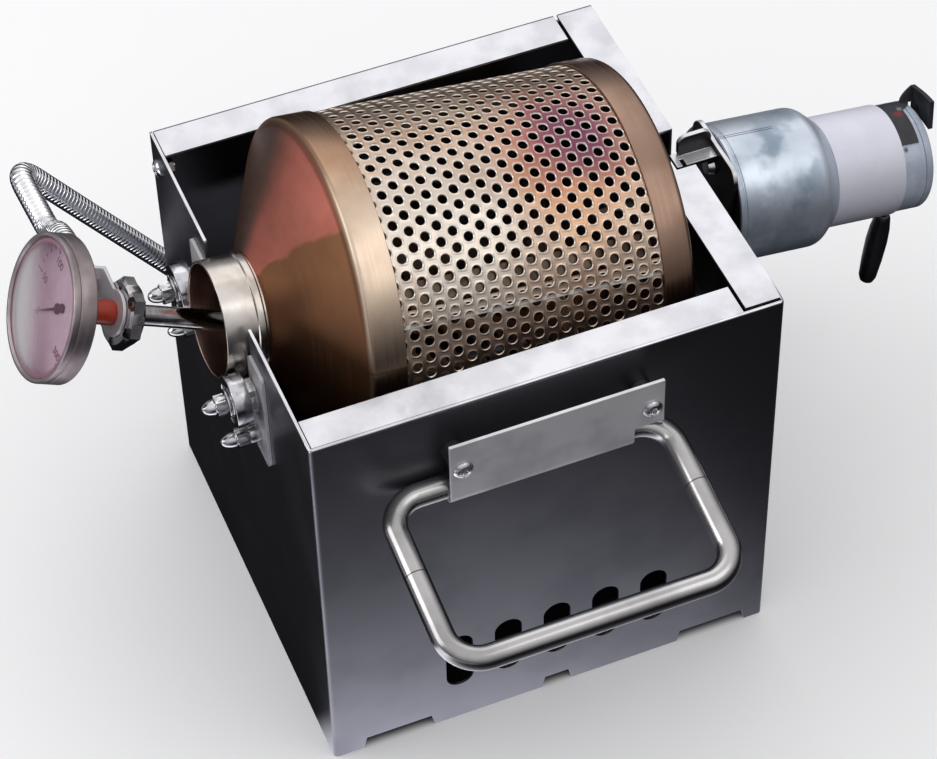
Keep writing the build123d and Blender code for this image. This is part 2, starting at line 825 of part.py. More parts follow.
gear_plane = across(motor_origin, drum_along, gear_front + fit)
with BuildPart() as gear_plate:
    with BuildSketch(gear_plane):
        Circle(gear_radius - lip_wall - fit)
    extrude(amount=gear_plate_wall)
    with BuildSketch(across(drum_origin, drum_along, boss_front)):
        Circle(boss_radius)
    extrude(amount=gear_front + fit - boss_front)
    with BuildSketch(across(drum_origin, drum_along, boss_front)):
        Circle(shaft_radius + running_fit)
    extrude(amount=gear_front + fit + gear_plate_wall - boss_front, mode=Mode.SUBTRACT)
    with BuildSketch(gear_plane):
        with PolarLocations(gear_screw_circle, 3, start_angle=90):
            Circle(screw_radius + running_fit)
    extrude(amount=gear_plate_wall, mode=Mode.SUBTRACT)
gear_plate.part.label = "gear_plate"
export_step(gear_plate.part, "parts/gear_plate.step")

bracket_plane = across(drum_origin, drum_along, bracket_face)
bracket_foot_drop = (drum_height - gear_front * sin(radians(drum_tilt)) - bracket_foot_top) + bracket_wall
foot_reach = bracket_plane.origin.X - bracket_foot_drop * sin(radians(drum_tilt)) - box_width / 2
hook_lean = (hook_height - bracket_plane.origin.Z) * tan(radians(drum_tilt))
hook_reach = bracket_plane.origin.X + hook_lean - bracket_wall - hook_start
ear_reach = hook_start + hook_reach - box_width / 2 + sheet
with BuildPart() as motor_bracket:
    with BuildSketch(bracket_plane) as upright:
        Rectangle(bracket_width, bracket_top, align=(Align.CENTER, Align.MIN))
        Rectangle(bracket_width, bracket_foot_drop, align=(Align.CENTER, Align.MAX))
        fillet(upright.vertices().group_by(Axis.Y)[-1], bracket_corner)
        Circle(boss_radius + bolt_fit, mode=Mode.SUBTRACT)
        with Locations((0, motor_offset)):
            with PolarLocations(gear_screw_circle, 3, start_angle=90):
                Circle(screw_hole, mode=Mode.SUBTRACT)
    extrude(amount=-bracket_wall)
    with BuildSketch(Plane.XZ.offset(-bracket_width / 2)):
        with Locations((box_width / 2 + fit, bracket_foot_top)):
            Rectangle(foot_reach - fit, bracket_wall, align=(Align.MIN, Align.MAX))
            Rectangle(bracket_wall, bracket_foot_top - bracket_foot_bottom, align=(Align.MIN, Align.MAX))
    extrude(amount=bracket_width)
    with BuildSketch(right_face.offset(fit)):
        with Locations(*bracket_screw_places):
            Circle(screw_hole)
    extrude(amount=2 * bracket_wall, mode=Mode.SUBTRACT)
    with BuildSketch(Plane.XY.offset(hook_height - bracket_wall)):
        with Locations((hook_start, hook_middle)):
            Rectangle(hook_reach, hook_width, align=(Align.MIN, Align.CENTER))
        with Locations((box_width / 2 - sheet / 2, hook_middle - hook_width / 2)):
            Rectangle(hook_slit, hook_width, mode=Mode.SUBTRACT)
    extrude(amount=bracket_wall)
    with BuildSketch(Plane.XZ.offset(-hook_middle - hook_width / 2)) as ear:
        with Locations((box_width / 2 - sheet, hook_height - bracket_wall)):
            Rectangle(ear_reach, hook_rise + bracket_wall, align=Align.MIN)
        fillet(ear.vertices().group_by(Axis.Z)[-1], hook_round)
    extrude(amount=bracket_wall)
motor_bracket.part.label = "motor_bracket"
export_step(motor_bracket.part, "parts/motor_bracket.step")

gear_screw = pan_screw(bracket_wall + gear_plate_wall)
gear_screw_plane = Plane(
    motor_origin + drum_along * (bracket_face - bracket_wall - fit),
    x_dir=(0, 1, 0),
    z_dir=drum_along * -1,
)
with BuildPart() as gear_screws:
    with Locations(gear_screw_plane):
        with PolarLocations(gear_screw_circle, 3, start_angle=-90):
            add(gear_screw)
gear_screws.part.label = "gear_screws"
export_step(gear_screws.part, "parts/gear_screws.step")

bracket_screw = pan_screw(bracket_wall + sheet + 2 * fit + nut_height + screw_tail)
with BuildPart() as bracket_screws:
    with Locations(*[on(right_face, x, z, bracket_wall + 2 * fit) for x, z in bracket_screw_places]):
        add(bracket_screw)
bracket_screws.part.label = "bracket_screws"
export_step(bracket_screws.part, "parts/bracket_screws.step")

with BuildPart() as bracket_nuts:
    with Locations(*[on(right_face, x, z, -sheet - fit - nut_height) for x, z in bracket_screw_places]):
        add(small_nut)
bracket_nuts.part.label = "bracket_nuts"
export_step(bracket_nuts.part, "parts/bracket_nuts.step")

can_start = gear_back + gear_chamfer + fit
with BuildPart() as motor_can:
    with BuildSketch(across(motor_origin, drum_along, can_start)):
        Circle(can_radius)
    extrude(amount=can_end - can_start)
motor_can.part.label = "motor_can"
export_step(motor_can.part, "parts/motor_can.step")

with BuildPart() as motor_sleeve:
    with BuildSketch(across(motor_origin, drum_along, can_start)):
        Circle(can_radius + sleeve_wall)
        Circle(can_radius + running_fit, mode=Mode.SUBTRACT)
    extrude(amount=sleeve_end - can_start)
motor_sleeve.part.label = "motor_sleeve"
export_step(motor_sleeve.part, "parts/motor_sleeve.step")

with BuildPart() as motor_cap:
    with BuildSketch(across(motor_origin, drum_along, can_end + fit)):
        Circle(can_radius)
    extrude(amount=cap_wall)
    chamfer(motor_cap.faces().sort_by(drum_axis)[-1].edges(), cap_wall / 3)
motor_cap.part.label = "motor_cap"
export_step(motor_cap.part, "parts/motor_cap.step")

tape_radius = can_radius + fit
tape_start = sleeve_end + fit
boot_start = tape_start + tape_length + fit
tape_edge = radians(tape_turn + tape_sweep / 2)
tape_out = drum_up * cos(tape_edge) + Vector(0, sin(tape_edge), 0)
tape_side = Plane(
    motor_origin + drum_along * tape_start,
    x_dir=tape_out,
    z_dir=tape_out.cross(drum_along),
)
with BuildPart() as motor_tape:
    with BuildSketch(tape_side):
        with Locations((tape_radius, 0)):
            Rectangle(tape_wall, tape_length, align=Align.MIN)
    revolve(axis=motor_axis, revolution_arc=tape_sweep)
motor_tape.part.label = "motor_tape"
export_step(motor_tape.part, "parts/motor_tape.step")

boot_location = across(motor_origin, drum_along, boot_start).location * Rot(0, 0, -boot_turn)
with BuildPart() as lead_boot:
    with BuildSketch(Plane(boot_location)):
        Rectangle(boot_width, tape_radius + boot_height, align=(Align.CENTER, Align.MIN))
        Circle(tape_radius, mode=Mode.SUBTRACT)
    extrude(amount=boot_length)
lead_boot.part.label = "lead_boot"
export_step(lead_boot.part, "parts/lead_boot.step")

# Lead: straight runs with an arc at each corner as large as its two runs allow
runs = [Vector(*b) - Vector(*a) for a, b in zip(lead_points, lead_points[1:])]
lead_radii = [
    0.45 * min(first.length, second.length) / tan(radians(first.get_angle(second) / 2))
    for first, second in zip(runs, runs[1:])
]
with BuildPart() as motor_lead:
    with BuildLine() as lead_path:
        FilletPolyline(*lead_points, radius=lead_radii)
    with BuildSketch(Plane(lead_path.line @ 0, z_dir=lead_path.line % 0)):
        Circle(lead_radius)
    sweep(path=lead_path.line)
motor_lead.part.label = "motor_lead"
export_step(motor_lead.part, "parts/motor_lead.step")
print("lead radii", [round(radius, 1) for radius in lead_radii])
lead_tube = lead_path.wire().length * pi * lead_radius**2
print("lead volume over section times length", round(motor_lead.part.volume / lead_tube, 4))

socket_along = (lead_path.line % 1).normalized()
socket_top = lead_path.line @ 1
socket_across = socket_along.cross(Vector(0, 1, 0)).normalized()
socket_axis = Axis(socket_top, socket_along)
with BuildPart() as lead_socket:
    with BuildSketch(Plane(socket_top, x_dir=socket_across, z_dir=socket_across.cross(socket_along))):
        with BuildLine():
            Polyline(
                (0, fit),
                (lead_radius * 1.4, fit),
                (socket_radius * 0.8, socket_relief),
                (socket_radius, socket_relief),
                (socket_radius, socket_relief + socket_length),
                (socket_bore, socket_relief + socket_length),
                (socket_bore, socket_relief + socket_length - socket_bore_depth),
                (socket_pin, socket_relief + socket_length - socket_bore_depth),
                (socket_pin, socket_relief + socket_length - fit),
                (0, socket_relief + socket_length - fit),
                close=True,
            )
        make_face()
    revolve(axis=socket_axis)
lead_socket.part.label = "lead_socket"
export_step(lead_socket.part, "parts/lead_socket.step")

# Thermometer

probe_bore = probe_radius + fit
with BuildPart() as dial_case:
    with BuildSketch(probe_side):
        with BuildLine():
            Polyline(
                (dial_radius - case_wall, bezel_depth + fit),
                (dial_radius, bezel_depth + fit),
                (dial_radius, case_depth - case_wall),
                (dial_radius - 2 * case_wall, case_depth),
                (hub_front_radius, case_depth),
                (hub_back_radius, hub_back),
                (probe_bore, hub_back),
                (probe_bore, case_depth - case_wall),
                (dial_radius - case_wall, case_depth - case_wall),
                close=True,
            )
        make_face()
    revolve(axis=probe_axis)
dial_case.part.label = "dial_case"
export_step(dial_case.part, "parts/dial_case.step")

with BuildPart() as dial_bezel:
    with BuildSketch(probe_side):
        with BuildLine():
            Polyline(
                (dial_radius - bezel_lip, glass_set - fit),
                (dial_radius - bezel_lip + case_wall, 0),
                (dial_radius - case_wall / 2, 0),
                (dial_radius, case_wall / 2),
                (dial_radius, bezel_depth),
                (dial_radius - case_wall, bezel_depth),
                (dial_radius - case_wall, glass_set - fit),
                close=True,
            )
        make_face()
    revolve(axis=probe_axis)
dial_bezel.part.label = "dial_bezel"
export_step(dial_bezel.part, "parts/dial_bezel.step")

with BuildPart() as dial_glass:
    with BuildSketch(across(dial_origin, probe_along, glass_set)):
        Circle(dial_radius - case_wall - fit)
    extrude(amount=glass_wall)
dial_glass.part.label = "dial_glass"
export_step(dial_glass.part, "parts/dial_glass.step")

with BuildPart() as dial_plate:
    with BuildSketch(across(dial_origin, probe_along, dial_set)):
        Circle(dial_radius - case_wall - fit)
    extrude(amount=dial_wall)
    with BuildSketch(across(dial_origin, probe_along, dial_set - 2 * needle_wall)):
        Circle(pivot_radius - running_fit)
    extrude(amount=2 * needle_wall)
dial_plate.part.label = "dial_plate"
export_step(dial_plate.part, "parts/dial_plate.step")

with BuildPart() as dial_needle:
    with BuildSketch(across(dial_origin, probe_along, dial_set - needle_wall - air)) as pointer:
        with BuildLine():
            Polyline(
                (-needle_tail, -needle_width),
                (needle_length, -needle_width / 8),
                (needle_length, needle_width / 8),
                (-needle_tail, needle_width),
                close=True,
            )
        make_face()
        Circle(needle_hub)
        Circle(pivot_radius, mode=Mode.SUBTRACT)
    extrude(amount=needle_wall)
dial_needle.part = dial_needle.part.rotate(probe_axis, needle_angle)
dial_needle.part.label = "dial_needle"
export_step(dial_needle.part, "parts/dial_needle.step")

with BuildPart() as probe_cover:
    with BuildSketch(across(dial_origin, probe_along, hub_back + fit)):
        Circle(cover_radius)
        Circle(probe_bore, mode=Mode.SUBTRACT)
    extrude(amount=cover_end - hub_back - 2 * fit)
probe_cover.part.label = "probe_cover"
export_step(probe_cover.part, "parts/probe_cover.step")

# The holder's ear is bent towards the dial and carries the gooseneck's stud
ferrule_station = cover_end - holder_bend
ferrule_point = dial_origin + probe_along * ferrule_station + Vector(0, holder_ear, 0)
with BuildPart() as probe_holder:
    with BuildSketch(across(dial_origin, probe_along, cover_end)):
        Circle(holder_radius)
        Rectangle(holder_ear, holder_width, align=(Align.MIN, Align.CENTER))
        Circle(probe_bore, mode=Mode.SUBTRACT)
    extrude(amount=holder_wall)
    with BuildSketch(Plane(ferrule_point, x_dir=probe_along, z_dir=(0, -1, 0))):
        Rectangle(2 * (cover_end + holder_wall - ferrule_station), holder_width)
        Circle(stud_radius + bolt_fit, mode=Mode.SUBTRACT)
    extrude(amount=holder_wall)
probe_holder.part.label = "probe_holder"
export_step(probe_holder.part, "parts/probe_holder.step")

nut_start = cover_end + holder_wall + fit
with BuildPart() as probe_nut:
    with BuildSketch(across(dial_origin, probe_along, nut_start)):
        RegularPolygon(probe_nut_flats / 2, 6, major_radius=False)
        Circle(probe_radius + running_fit, mode=Mode.SUBTRACT)
    extrude(amount=probe_nut_height)
probe_nut.part.label = "probe_nut"
export_step(probe_nut.part, "parts/probe_nut.step")

with BuildPart() as probe_stem:
    with BuildSketch(probe_side):
        with BuildLine():
            Polyline(
                (0, case_depth + fit),
                (probe_radius, case_depth + fit),
                (probe_radius, probe_end - probe_radius / 2),
                (probe_radius / 2, probe_end),
                (0, probe_end),
                close=True,
            )
        make_face()
    revolve(axis=probe_axis)
probe_stem.part.label = "probe_stem"
export_step(probe_stem.part, "parts/probe_stem.step")

# Gooseneck

goose_start = Vector(*goose_base, ledge_height + ledge_wall + ferrule_length)
goose_end = ferrule_point + Vector(0, ferrule_length, 0)
goose_lead = goose_end + Vector(0, goose_run_out, 0)
with BuildLine() as goose_path:
    FilletPolyline(
        goose_start + Vector(0, 0, fit),
        *goose_corners,
        goose_lead,
        goose_end + Vector(0, fit, 0),
        radius=goose_bends,
    )
goose_line = goose_path.wire()
goose_length = goose_line.length
plain_end = 2 * goose_radius
rib_pitch = (goose_length - 2 * plain_end) / goose_ribs
rib_steps = ((0.0, goose_groove), (0.2, 0.0), (0.7, 0.0), (0.9, goose_groove))
goose_sections = [(0.0, goose_groove), (plain_end * 0.9, goose_groove)]
for rib in range(goose_ribs):
    goose_sections += [(plain_end + (rib + step) * rib_pitch, depth) for step, depth in rib_steps]
goose_sections += [(goose_length - plain_end, goose_groove), (goose_length, goose_groove)]
with BuildPart() as gooseneck:
    for half in (goose_sections[: goose_split + 1], goose_sections[goose_split:]):
        for distance, depth in half:
            share = distance / goose_length
            with BuildSketch(Plane(goose_line @ share, x_dir=(1, 0, 0), z_dir=goose_line % share)):
                Circle(goose_radius - depth)
        loft(ruled=True)
    with BuildSketch(Plane(goose_line @ 0, z_dir=goose_line % 0)):
        Circle(goose_bore)
    sweep(path=goose_line, mode=Mode.SUBTRACT)
gooseneck.part.label = "gooseneck"
export_step(gooseneck.part, "parts/gooseneck.step")
goose_tube = goose_length * pi * ((goose_radius - goose_groove / 2) ** 2 - goose_bore**2)
print("gooseneck volume over section times length", round(gooseneck.part.volume / goose_tube, 3))

with BuildPart() as gooseneck_base:
    with BuildSketch(Plane.XY.offset(ledge_height + ledge_wall + fit)):
        with Locations(goose_base):
            Circle(ferrule_radius)
    extrude(amount=ferrule_length - fit)
    with BuildSketch(Plane.XY.offset(ledge_height + ledge_wall + ferrule_length / 2)):
        with Locations(goose_base):
            Circle(stud_radius)
    extrude(amount=-ledge_wall - ferrule_length / 2 - stud_nut_height - screw_tail)
gooseneck_base.part.label = "gooseneck_base"
export_step(gooseneck_base.part, "parts/gooseneck_base.step")

stud_nut = hex_nut(stud_nut_flats, stud_nut_height, stud_radius + running_fit)
with BuildPart() as gooseneck_nut:
    with Locations((*goose_base, ledge_height - fit - stud_nut_height)):
        add(stud_nut)
gooseneck_nut.part.label = "gooseneck_nut"
export_step(gooseneck_nut.part, "parts/gooseneck_nut.step")

with BuildPart() as gooseneck_bracket:
    with BuildSketch(Plane.YZ.offset(goose_base[0] - ledge_width / 2)):
        with Locations((box_depth / 2 + fit, ledge_height)):
            Rectangle(ledge_wall, ledge_rise, align=Align.MIN)
            Rectangle(ledge_reach, ledge_wall, align=Align.MIN)
    extrude(amount=ledge_width)
    with BuildSketch(Plane.XY.offset(ledge_height)):
        with Locations(goose_base):
            Circle(stud_radius + bolt_fit)
    extrude(amount=ledge_wall, mode=Mode.SUBTRACT)
    with BuildSketch(back_face):
        with Locations(*ledge_screw_places):
            Circle(screw_hole)
    extrude(amount=2 * ledge_wall, mode=Mode.SUBTRACT)
gooseneck_bracket.part.label = "gooseneck_bracket"
export_step(gooseneck_bracket.part, "parts/gooseneck_bracket.step")

ledge_screw = pan_screw(ledge_wall + sheet + 2 * fit + nut_height + screw_tail)
with BuildPart() as ledge_screws:
    with Locations(*[on(back_face, x, z, ledge_wall + 2 * fit) for x, z in ledge_screw_places]):
        add(ledge_screw)
ledge_screws.part.label = "ledge_screws"
export_step(ledge_screws.part, "parts/ledge_screws.step")

with BuildPart() as ledge_nuts:
    with Locations(*[on(back_face, x, z, -sheet - fit - nut_height) for x, z in ledge_screw_places]):
        add(small_nut)
ledge_nuts.part.label = "ledge_nuts"
export_step(ledge_nuts.part, "parts/ledge_nuts.step")

ear_plane = Plane(ferrule_point, x_dir=probe_along, z_dir=(0, 1, 0))
with BuildPart() as gooseneck_tip:
    with BuildSketch(ear_plane.offset(fit)):
        Circle(ferrule_radius)
    extrude(amount=ferrule_length - fit)
    with BuildSketch(ear_plane.offset(ferrule_length / 2)):
        Circle(stud_radius)
    extrude(amount=-ferrule_length / 2 - holder_wall - stud_nut_height - fit)
gooseneck_tip.part.label = "gooseneck_tip"
export_step(gooseneck_tip.part, "parts/gooseneck_tip.step")

with BuildPart() as gooseneck_tip_nut:
    with Locations(ear_plane.offset(-holder_wall - fit - stud_nut_height)):
        add(stud_nut)
gooseneck_tip_nut.part.label = "gooseneck_tip_nut"
export_step(gooseneck_tip_nut.part, "parts/gooseneck_tip_nut.step")
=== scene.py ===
"""Looks of a drum coffee roaster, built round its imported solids.

Sizes are millimetres and angles degrees, until a mesh is written in metres. X runs along the
drum from its mouth to its motor, the front is at -Y, Z is up, and the floor is at Z 0.
"""

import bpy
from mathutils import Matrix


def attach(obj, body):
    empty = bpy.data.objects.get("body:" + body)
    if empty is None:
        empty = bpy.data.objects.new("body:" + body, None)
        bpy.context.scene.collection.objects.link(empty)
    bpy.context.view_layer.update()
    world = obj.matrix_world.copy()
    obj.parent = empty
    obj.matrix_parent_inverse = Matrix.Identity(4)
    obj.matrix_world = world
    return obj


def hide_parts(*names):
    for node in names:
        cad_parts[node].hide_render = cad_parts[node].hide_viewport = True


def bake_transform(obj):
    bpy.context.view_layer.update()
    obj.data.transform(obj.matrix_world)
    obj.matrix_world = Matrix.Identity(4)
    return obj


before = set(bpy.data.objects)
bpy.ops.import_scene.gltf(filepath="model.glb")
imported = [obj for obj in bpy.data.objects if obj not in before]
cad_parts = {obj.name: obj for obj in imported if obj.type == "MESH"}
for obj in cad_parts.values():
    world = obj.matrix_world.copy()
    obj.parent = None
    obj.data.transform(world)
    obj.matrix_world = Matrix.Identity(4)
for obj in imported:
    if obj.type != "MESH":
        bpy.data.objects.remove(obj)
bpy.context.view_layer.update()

import logging
from collections.abc import Sequence
from dataclasses import dataclass
from enum import Enum

import bmesh
import bpy
import numpy as np
from mathutils import Matrix, Vector

Array = np.ndarray
Mesh = bpy.types.Mesh
Tree = bpy.types.NodeTree
Point = tuple[float, float, float]
Colour = tuple[int, int, int]
Span = tuple[float, float]
Step = tuple[float, float, float, float]
Outline = Sequence[Span]

MM = 0.001
MERGE_GAP = 0.002
FLAT_ANGLE = 0.5
LONGEST_ARC = 0.48
LOG = logging.getLogger("roaster")
LEFT: Point = (-1.0, 0.0, 0.0)
RIGHT: Point = (1.0, 0.0, 0.0)
FRONT: Point = (0.0, -1.0, 0.0)
BACK: Point = (0.0, 1.0, 0.0)
UP: Point = (0.0, 0.0, 1.0)


# Surfaces


@dataclass(frozen=True)
class AxisFrame:
    """An axis, with stations along it and angles about it that start at its out direction."""

    origin: Point
    along: Point
    out: Point = UP

    def place(self, radius: Array | float, angle: Array | float, station: Array | float) -> Array:
        """Turns radius, angle and station into points.

        A point is origin + station * along + radius * (cos(angle) * out + sin(angle) * side),
        with side square to out and along.

        Args:
            radius: Distances from the axis.
            angle: Angles about the axis, in degrees.
            station: Distances along the axis.

        Returns:
            The points, with one more dimension than the arguments together.
        """
        spread = np.broadcast_arrays(radius, np.radians(angle), station)
        radius, turn, station = (np.asarray(value, float)[..., None] for value in spread)
        around = np.cos(turn) * np.array(self.out) + np.sin(turn) * np.cross(self.out, self.along)
        return np.array(self.origin) + station * np.array(self.along) + radius * around

    def moved(self, radius: float, angle: float, station: float) -> "AxisFrame":
        """Returns the same axis, starting at another point."""
        return AxisFrame(tuple(self.place(radius, angle, station)), self.along, self.out)


def tilted_axis(origin: Point, tilt: float) -> AxisFrame:
    """Makes an axis through a point that falls by tilt degrees towards +X; its angles start on top."""
    slope = np.radians(tilt)
    return AxisFrame(origin, (np.cos(slope), 0.0, -np.sin(slope)), (np.sin(slope), 0.0, np.cos(slope)))


DRUM = tilted_axis((0.0, 0.0, 167.3), 7.2)
MOTOR = DRUM.moved(11.7, 0.0, 0.0)
PROBE = tilted_axis((-174.8, 0.0, 216.2), 27.8)


def smoothstep(low: float, high: float, value: Array) -> Array:
    """Rises from 0 at low to 1 at high as 3t^2 - 2t^3."""
    t = np.clip((value - low) / (high - low), 0, 1)
    return t * t * (3 - 2 * t)


def unit(vectors: Array) -> Array:
    """Returns vectors scaled to length 1."""
    return vectors / np.linalg.norm(vectors, axis=-1, keepdims=True)


def run_along(path: Array) -> Array:
    """Distance of each point of a path from its start."""
    return np.concatenate([[0], np.cumsum(np.linalg.norm(np.diff(path, axis=0), axis=1))])


def rounded(points: Sequence, radius: float | Sequence[float], steps: int = 5, closed: bool = True) -> Array:
    """Rounds the corners of an outline with arcs.

    With w the cosine of half the turn, P and Q the ends of the arc and C the corner, the arc is
    ((1-t)^2 P + 2wt(1-t) C + t^2 Q) / ((1-t)^2 + 2wt(1-t) + t^2), t from 0 to 1.

    Args:
        points: Corners of the outline.
        radius: Radius of the arcs, or one for each corner.
        steps: Chords in each arc.
        closed: Whether the last corner joins the first.

    Returns:
        The points of the rounded outline.
    """
    corners = np.asarray(points, float)
    before = np.roll(corners, 1, axis=0) - corners
    after = np.roll(corners, -1, axis=0) - corners
    first = np.linalg.norm(before, axis=1, keepdims=True)
    second = np.linalg.norm(after, axis=1, keepdims=True)
    before, after = before / first, after / second
    half = (np.pi - np.arccos(np.clip(np.sum(before * after, axis=1, keepdims=True), -1, 1))) / 2
    wanted = np.reshape(np.broadcast_to(radius, len(corners)), (-1, 1)) * np.tan(half)
    reach = np.minimum(wanted, LONGEST_ARC * np.minimum(first, second))
    start = (corners + before * reach)[:, None]
    end = (corners + after * reach)[:, None]
    t = np.linspace(0, 1, steps + 1)[None, :, None]
    weight = 2 * np.cos(half)[:, None] * t * (1 - t)
    top = (1 - t) ** 2 * start + weight * corners[:, None] + t**2 * end
    arcs = top / ((1 - t) ** 2 + weight + t**2)
    if closed:
        return arcs.reshape(-1, corners.shape[1])
    return np.concatenate([corners[:1], arcs[1:-1].reshape(-1, corners.shape[1]), corners[-1:]])


def bar(inner: float, outer: float, start: float, end: float) -> Outline:
    """Returns the outline of a plain ring between two radii and two stations."""
    return [(inner, start), (outer, start), (outer, end), (inner, end)]


def stepped(inner: float, outer: float, start: float, end: float, waist: float, last: float) -> Outline:
    """Returns the outline of a ring that goes on from its outer part at a second radius, the waist."""
    return [(inner, start), (outer, start), (outer, end), (waist, end), (waist, last), (inner, last)]


class Shell:
    """Points and faces of a piece, gathered grid by grid."""

    def __init__(self) -> None:
        """Starts with no points."""
        self.points: list[Array] = []
        self.faces: list[list[int]] = []
        self.rims: list[Array] = []
        self.count = 0

    def add(self, points: Array, faces: Array) -> None:
        """Adds points and the faces between them.

        Args:
            points: Points, in an array of any shape that ends in 3.
            faces: Rows of indices into the flattened points.
        """
        flat = points.reshape(-1, 3)
        self.points.append(flat)
        self.faces += (faces + self.count).tolist()
        self.count += len(flat)

    def grid(self, points: Array, around: bool = False, closed: bool = False) -> None:
        """Adds a grid of points as quads between neighbours.

        Args:
            points: Rows by columns by 3.
            around: Whether the last row joins the first.
            closed: Whether the last column joins the first.
        """
        rows, columns = points.shape[:2]
        index = np.arange(rows * columns).reshape(rows, columns)
        if around:
            index = np.concatenate([index, index[:1]])
        if closed:
            index = np.concatenate([index, index[:, :1]], axis=1)
        corners = (index[:-1, :-1], index[1:, :-1], index[1:, 1:], index[:-1, 1:])
        self.add(points, np.stack(corners, axis=-1).reshape(-1, 4))

    def slab(self, outer: Array, inner: Array) -> "Shell":
        """Adds two grids of one shape as the faces of a sheet, with its four rims.

        Args:
            outer: Points of one face, rows by columns by 3.
            inner: Points of the other.

        Returns:
            The shell.
        """
        self.grid(outer)
        self.grid(inner)
        for edge in (np.s_[0], np.s_[-1], np.s_[:, 0], np.s_[:, -1]):
            self.grid(np.stack([outer[edge], inner[edge]]))
        return self

    def fan(self, ring: Array) -> None:
        """Closes a ring of points with one face."""
        self.add(ring, np.arange(len(ring))[None, :])

    def turned(
        self, axis: AxisFrame, profile: Array, sides: int, closed: bool = True, flats: float | None = None
    ) -> "Shell":
        """Turns a profile of (radius, station) rows about an axis.

        Where flats is given, the radius is the smaller of the profile's and a hexagon's, which is
        half its flats over the cosine of the angle from the nearest flat.

        Args:
            axis: Axis of the turning.
            profile: Radius and station of each point.
            sides: Number of steps in a turn.
            closed: Whether the profile is a closed ring; if not, its two ends get caps.
            flats: Distance across the flats of a hexagon.

        Returns:
            The shell.
        """
        turn = np.arange(sides) * 360 / sides
        radius = np.broadcast_to(profile[None, :, 0], (sides, len(profile)))
        if flats is not None:
            hexagon = flats / 2 / np.cos(np.radians((turn + 30) % 60 - 30))
            radius = np.minimum(radius, hexagon[:, None])
        points = axis.place(radius, turn[:, None], profile[None, :, 1])
        self.grid(points, around=True, closed=closed)
        if not closed:
            self.fan(points[:, 0])
            self.fan(points[:, -1])
        return self

    def tube(self, path: Array, radius: Array, reference: Point, closed: bool = False) -> "Shell":
        """Carries rings along a path.

        A ring's point is the path's + radius * (cos(a) * n + sin(a) * b), with n the part of the
        reference direction that is square to the path, and b square to both.

        Args:
            path: Points of the path.
            radius: Radii, path points by steps round the ring.
            reference: Direction that the path never follows.
            closed: Whether the path's end joins its start.

        Returns:
            The shell.
        """
        step = unit(np.roll(path, -1, axis=0) - path)
        back = np.roll(step, 1, axis=0)
        if not closed:
            step[-1] = step[-2]
            back[0] = step[0]
        tangent = unit(step + back)
        normal = unit(np.array(reference) - tangent * (tangent @ np.array(reference))[:, None])
        other = np.cross(tangent, normal)
        angle = (np.arange(radius.shape[1]) * 2 * np.pi / radius.shape[1])[None, :, None]
        around = np.cos(angle) * normal[:, None] + np.sin(angle) * other[:, None]
        points = path[:, None] + radius[..., None] * around
        self.grid(points, around=closed, closed=True)
        if not closed:
            self.fan(points[0])
            self.fan(points[-1])
        return self

    def mesh(self, name: str, tidy: bool = True) -> Mesh:
        """Writes the piece's mesh in metres.

        Where the shell has rims, their share of each point becomes the mesh's rim attribute.

        Args:
            name: Name of the mesh.
            tidy: Whether doubles are merged and faces turned outwards.

        Returns:
            The new mesh.
        """
        mesh = bpy.data.meshes.new(name)
        mesh.from_pydata((np.concatenate(self.points) * MM).tolist(), [], self.faces)
        if self.rims:
            rim = mesh.attributes.new("rim", "FLOAT", "POINT")
            rim.data.foreach_set("value", np.concatenate(self.rims))
        return tidy_mesh(mesh) if tidy else mesh


def tidy_mesh(mesh: Mesh, flatten: bool = False) -> Mesh:
    """Merges a mesh's doubles and turns its faces outwards.

    Args:
        mesh: The mesh, which is changed.
        flatten: Whether triangles in one plane are joined.

    Returns:
        The same mesh.
    """
    work = bmesh.new()
    work.from_mesh(mesh)
    bmesh.ops.remove_doubles(work, verts=work.verts, dist=MERGE_GAP * MM)
    if flatten:
        limit = np.radians(FLAT_ANGLE)
        bmesh.ops.dissolve_limit(work, angle_limit=limit, verts=work.verts, edges=work.edges)
    bmesh.ops.recalc_face_normals(work, faces=work.faces)
    work.to_mesh(mesh)
    work.free()
    return mesh


def read(items: bpy.types.bpy_prop_collection, field: str, width: int, kind: type = float) -> Array:
    """Reads a field of every item of a collection.

    Args:
        items: The collection, such as a mesh's vertices.
        field: Name of the field.
        width: Numbers that each item has.
        kind: Type of the numbers.

    Returns:
        The numbers, items by width.
    """
    values = np.empty(len(items) * width, kind)
    items.foreach_get(field, values)
    return values.reshape(-1, width)


def melted(curve: bpy.types.Curve) -> tuple[Array, Array]:
    """Reads the mesh that a curve or text makes, and removes both.

    Args:
        curve: The curve or text.

    Returns:
        The mesh's points and its triangles.
    """
    carrier = bpy.data.objects.new(curve.name, curve)
    mesh = bpy.data.meshes.new_from_object(carrier)
    mesh.calc_loop_triangles()
    points = read(mesh.vertices, "co", 3)
    triangles = read(mesh.loop_triangles, "vertices", 3, int)
    bpy.data.objects.remove(carrier)
    bpy.data.curves.remove(curve)
    bpy.data.meshes.remove(mesh)
    return points, triangles


def nurbs_curve(name: str, points: Sequence[Point]) -> bpy.types.Curve:
    """Makes a NURBS line with the given points, in millimetres, as its control points.

    Args:
        name: Name of the curve.
        points: Control points.

    Returns:
        The curve, of order 3 and reaching both end points.
    """
    curve = bpy.data.curves.new(name, "CURVE")
    curve.dimensions = "3D"
    curve.resolution_u = 24
    spline = curve.splines.new("NURBS")
    spline.points.add(len(points) - 1)
    weighted = np.concatenate([np.array(points) * MM, np.ones((len(points), 1))], axis=1)
    spline.points.foreach_set("co", weighted.ravel())
    spline.order_u = 3
    spline.use_endpoint_u = True
    return curve


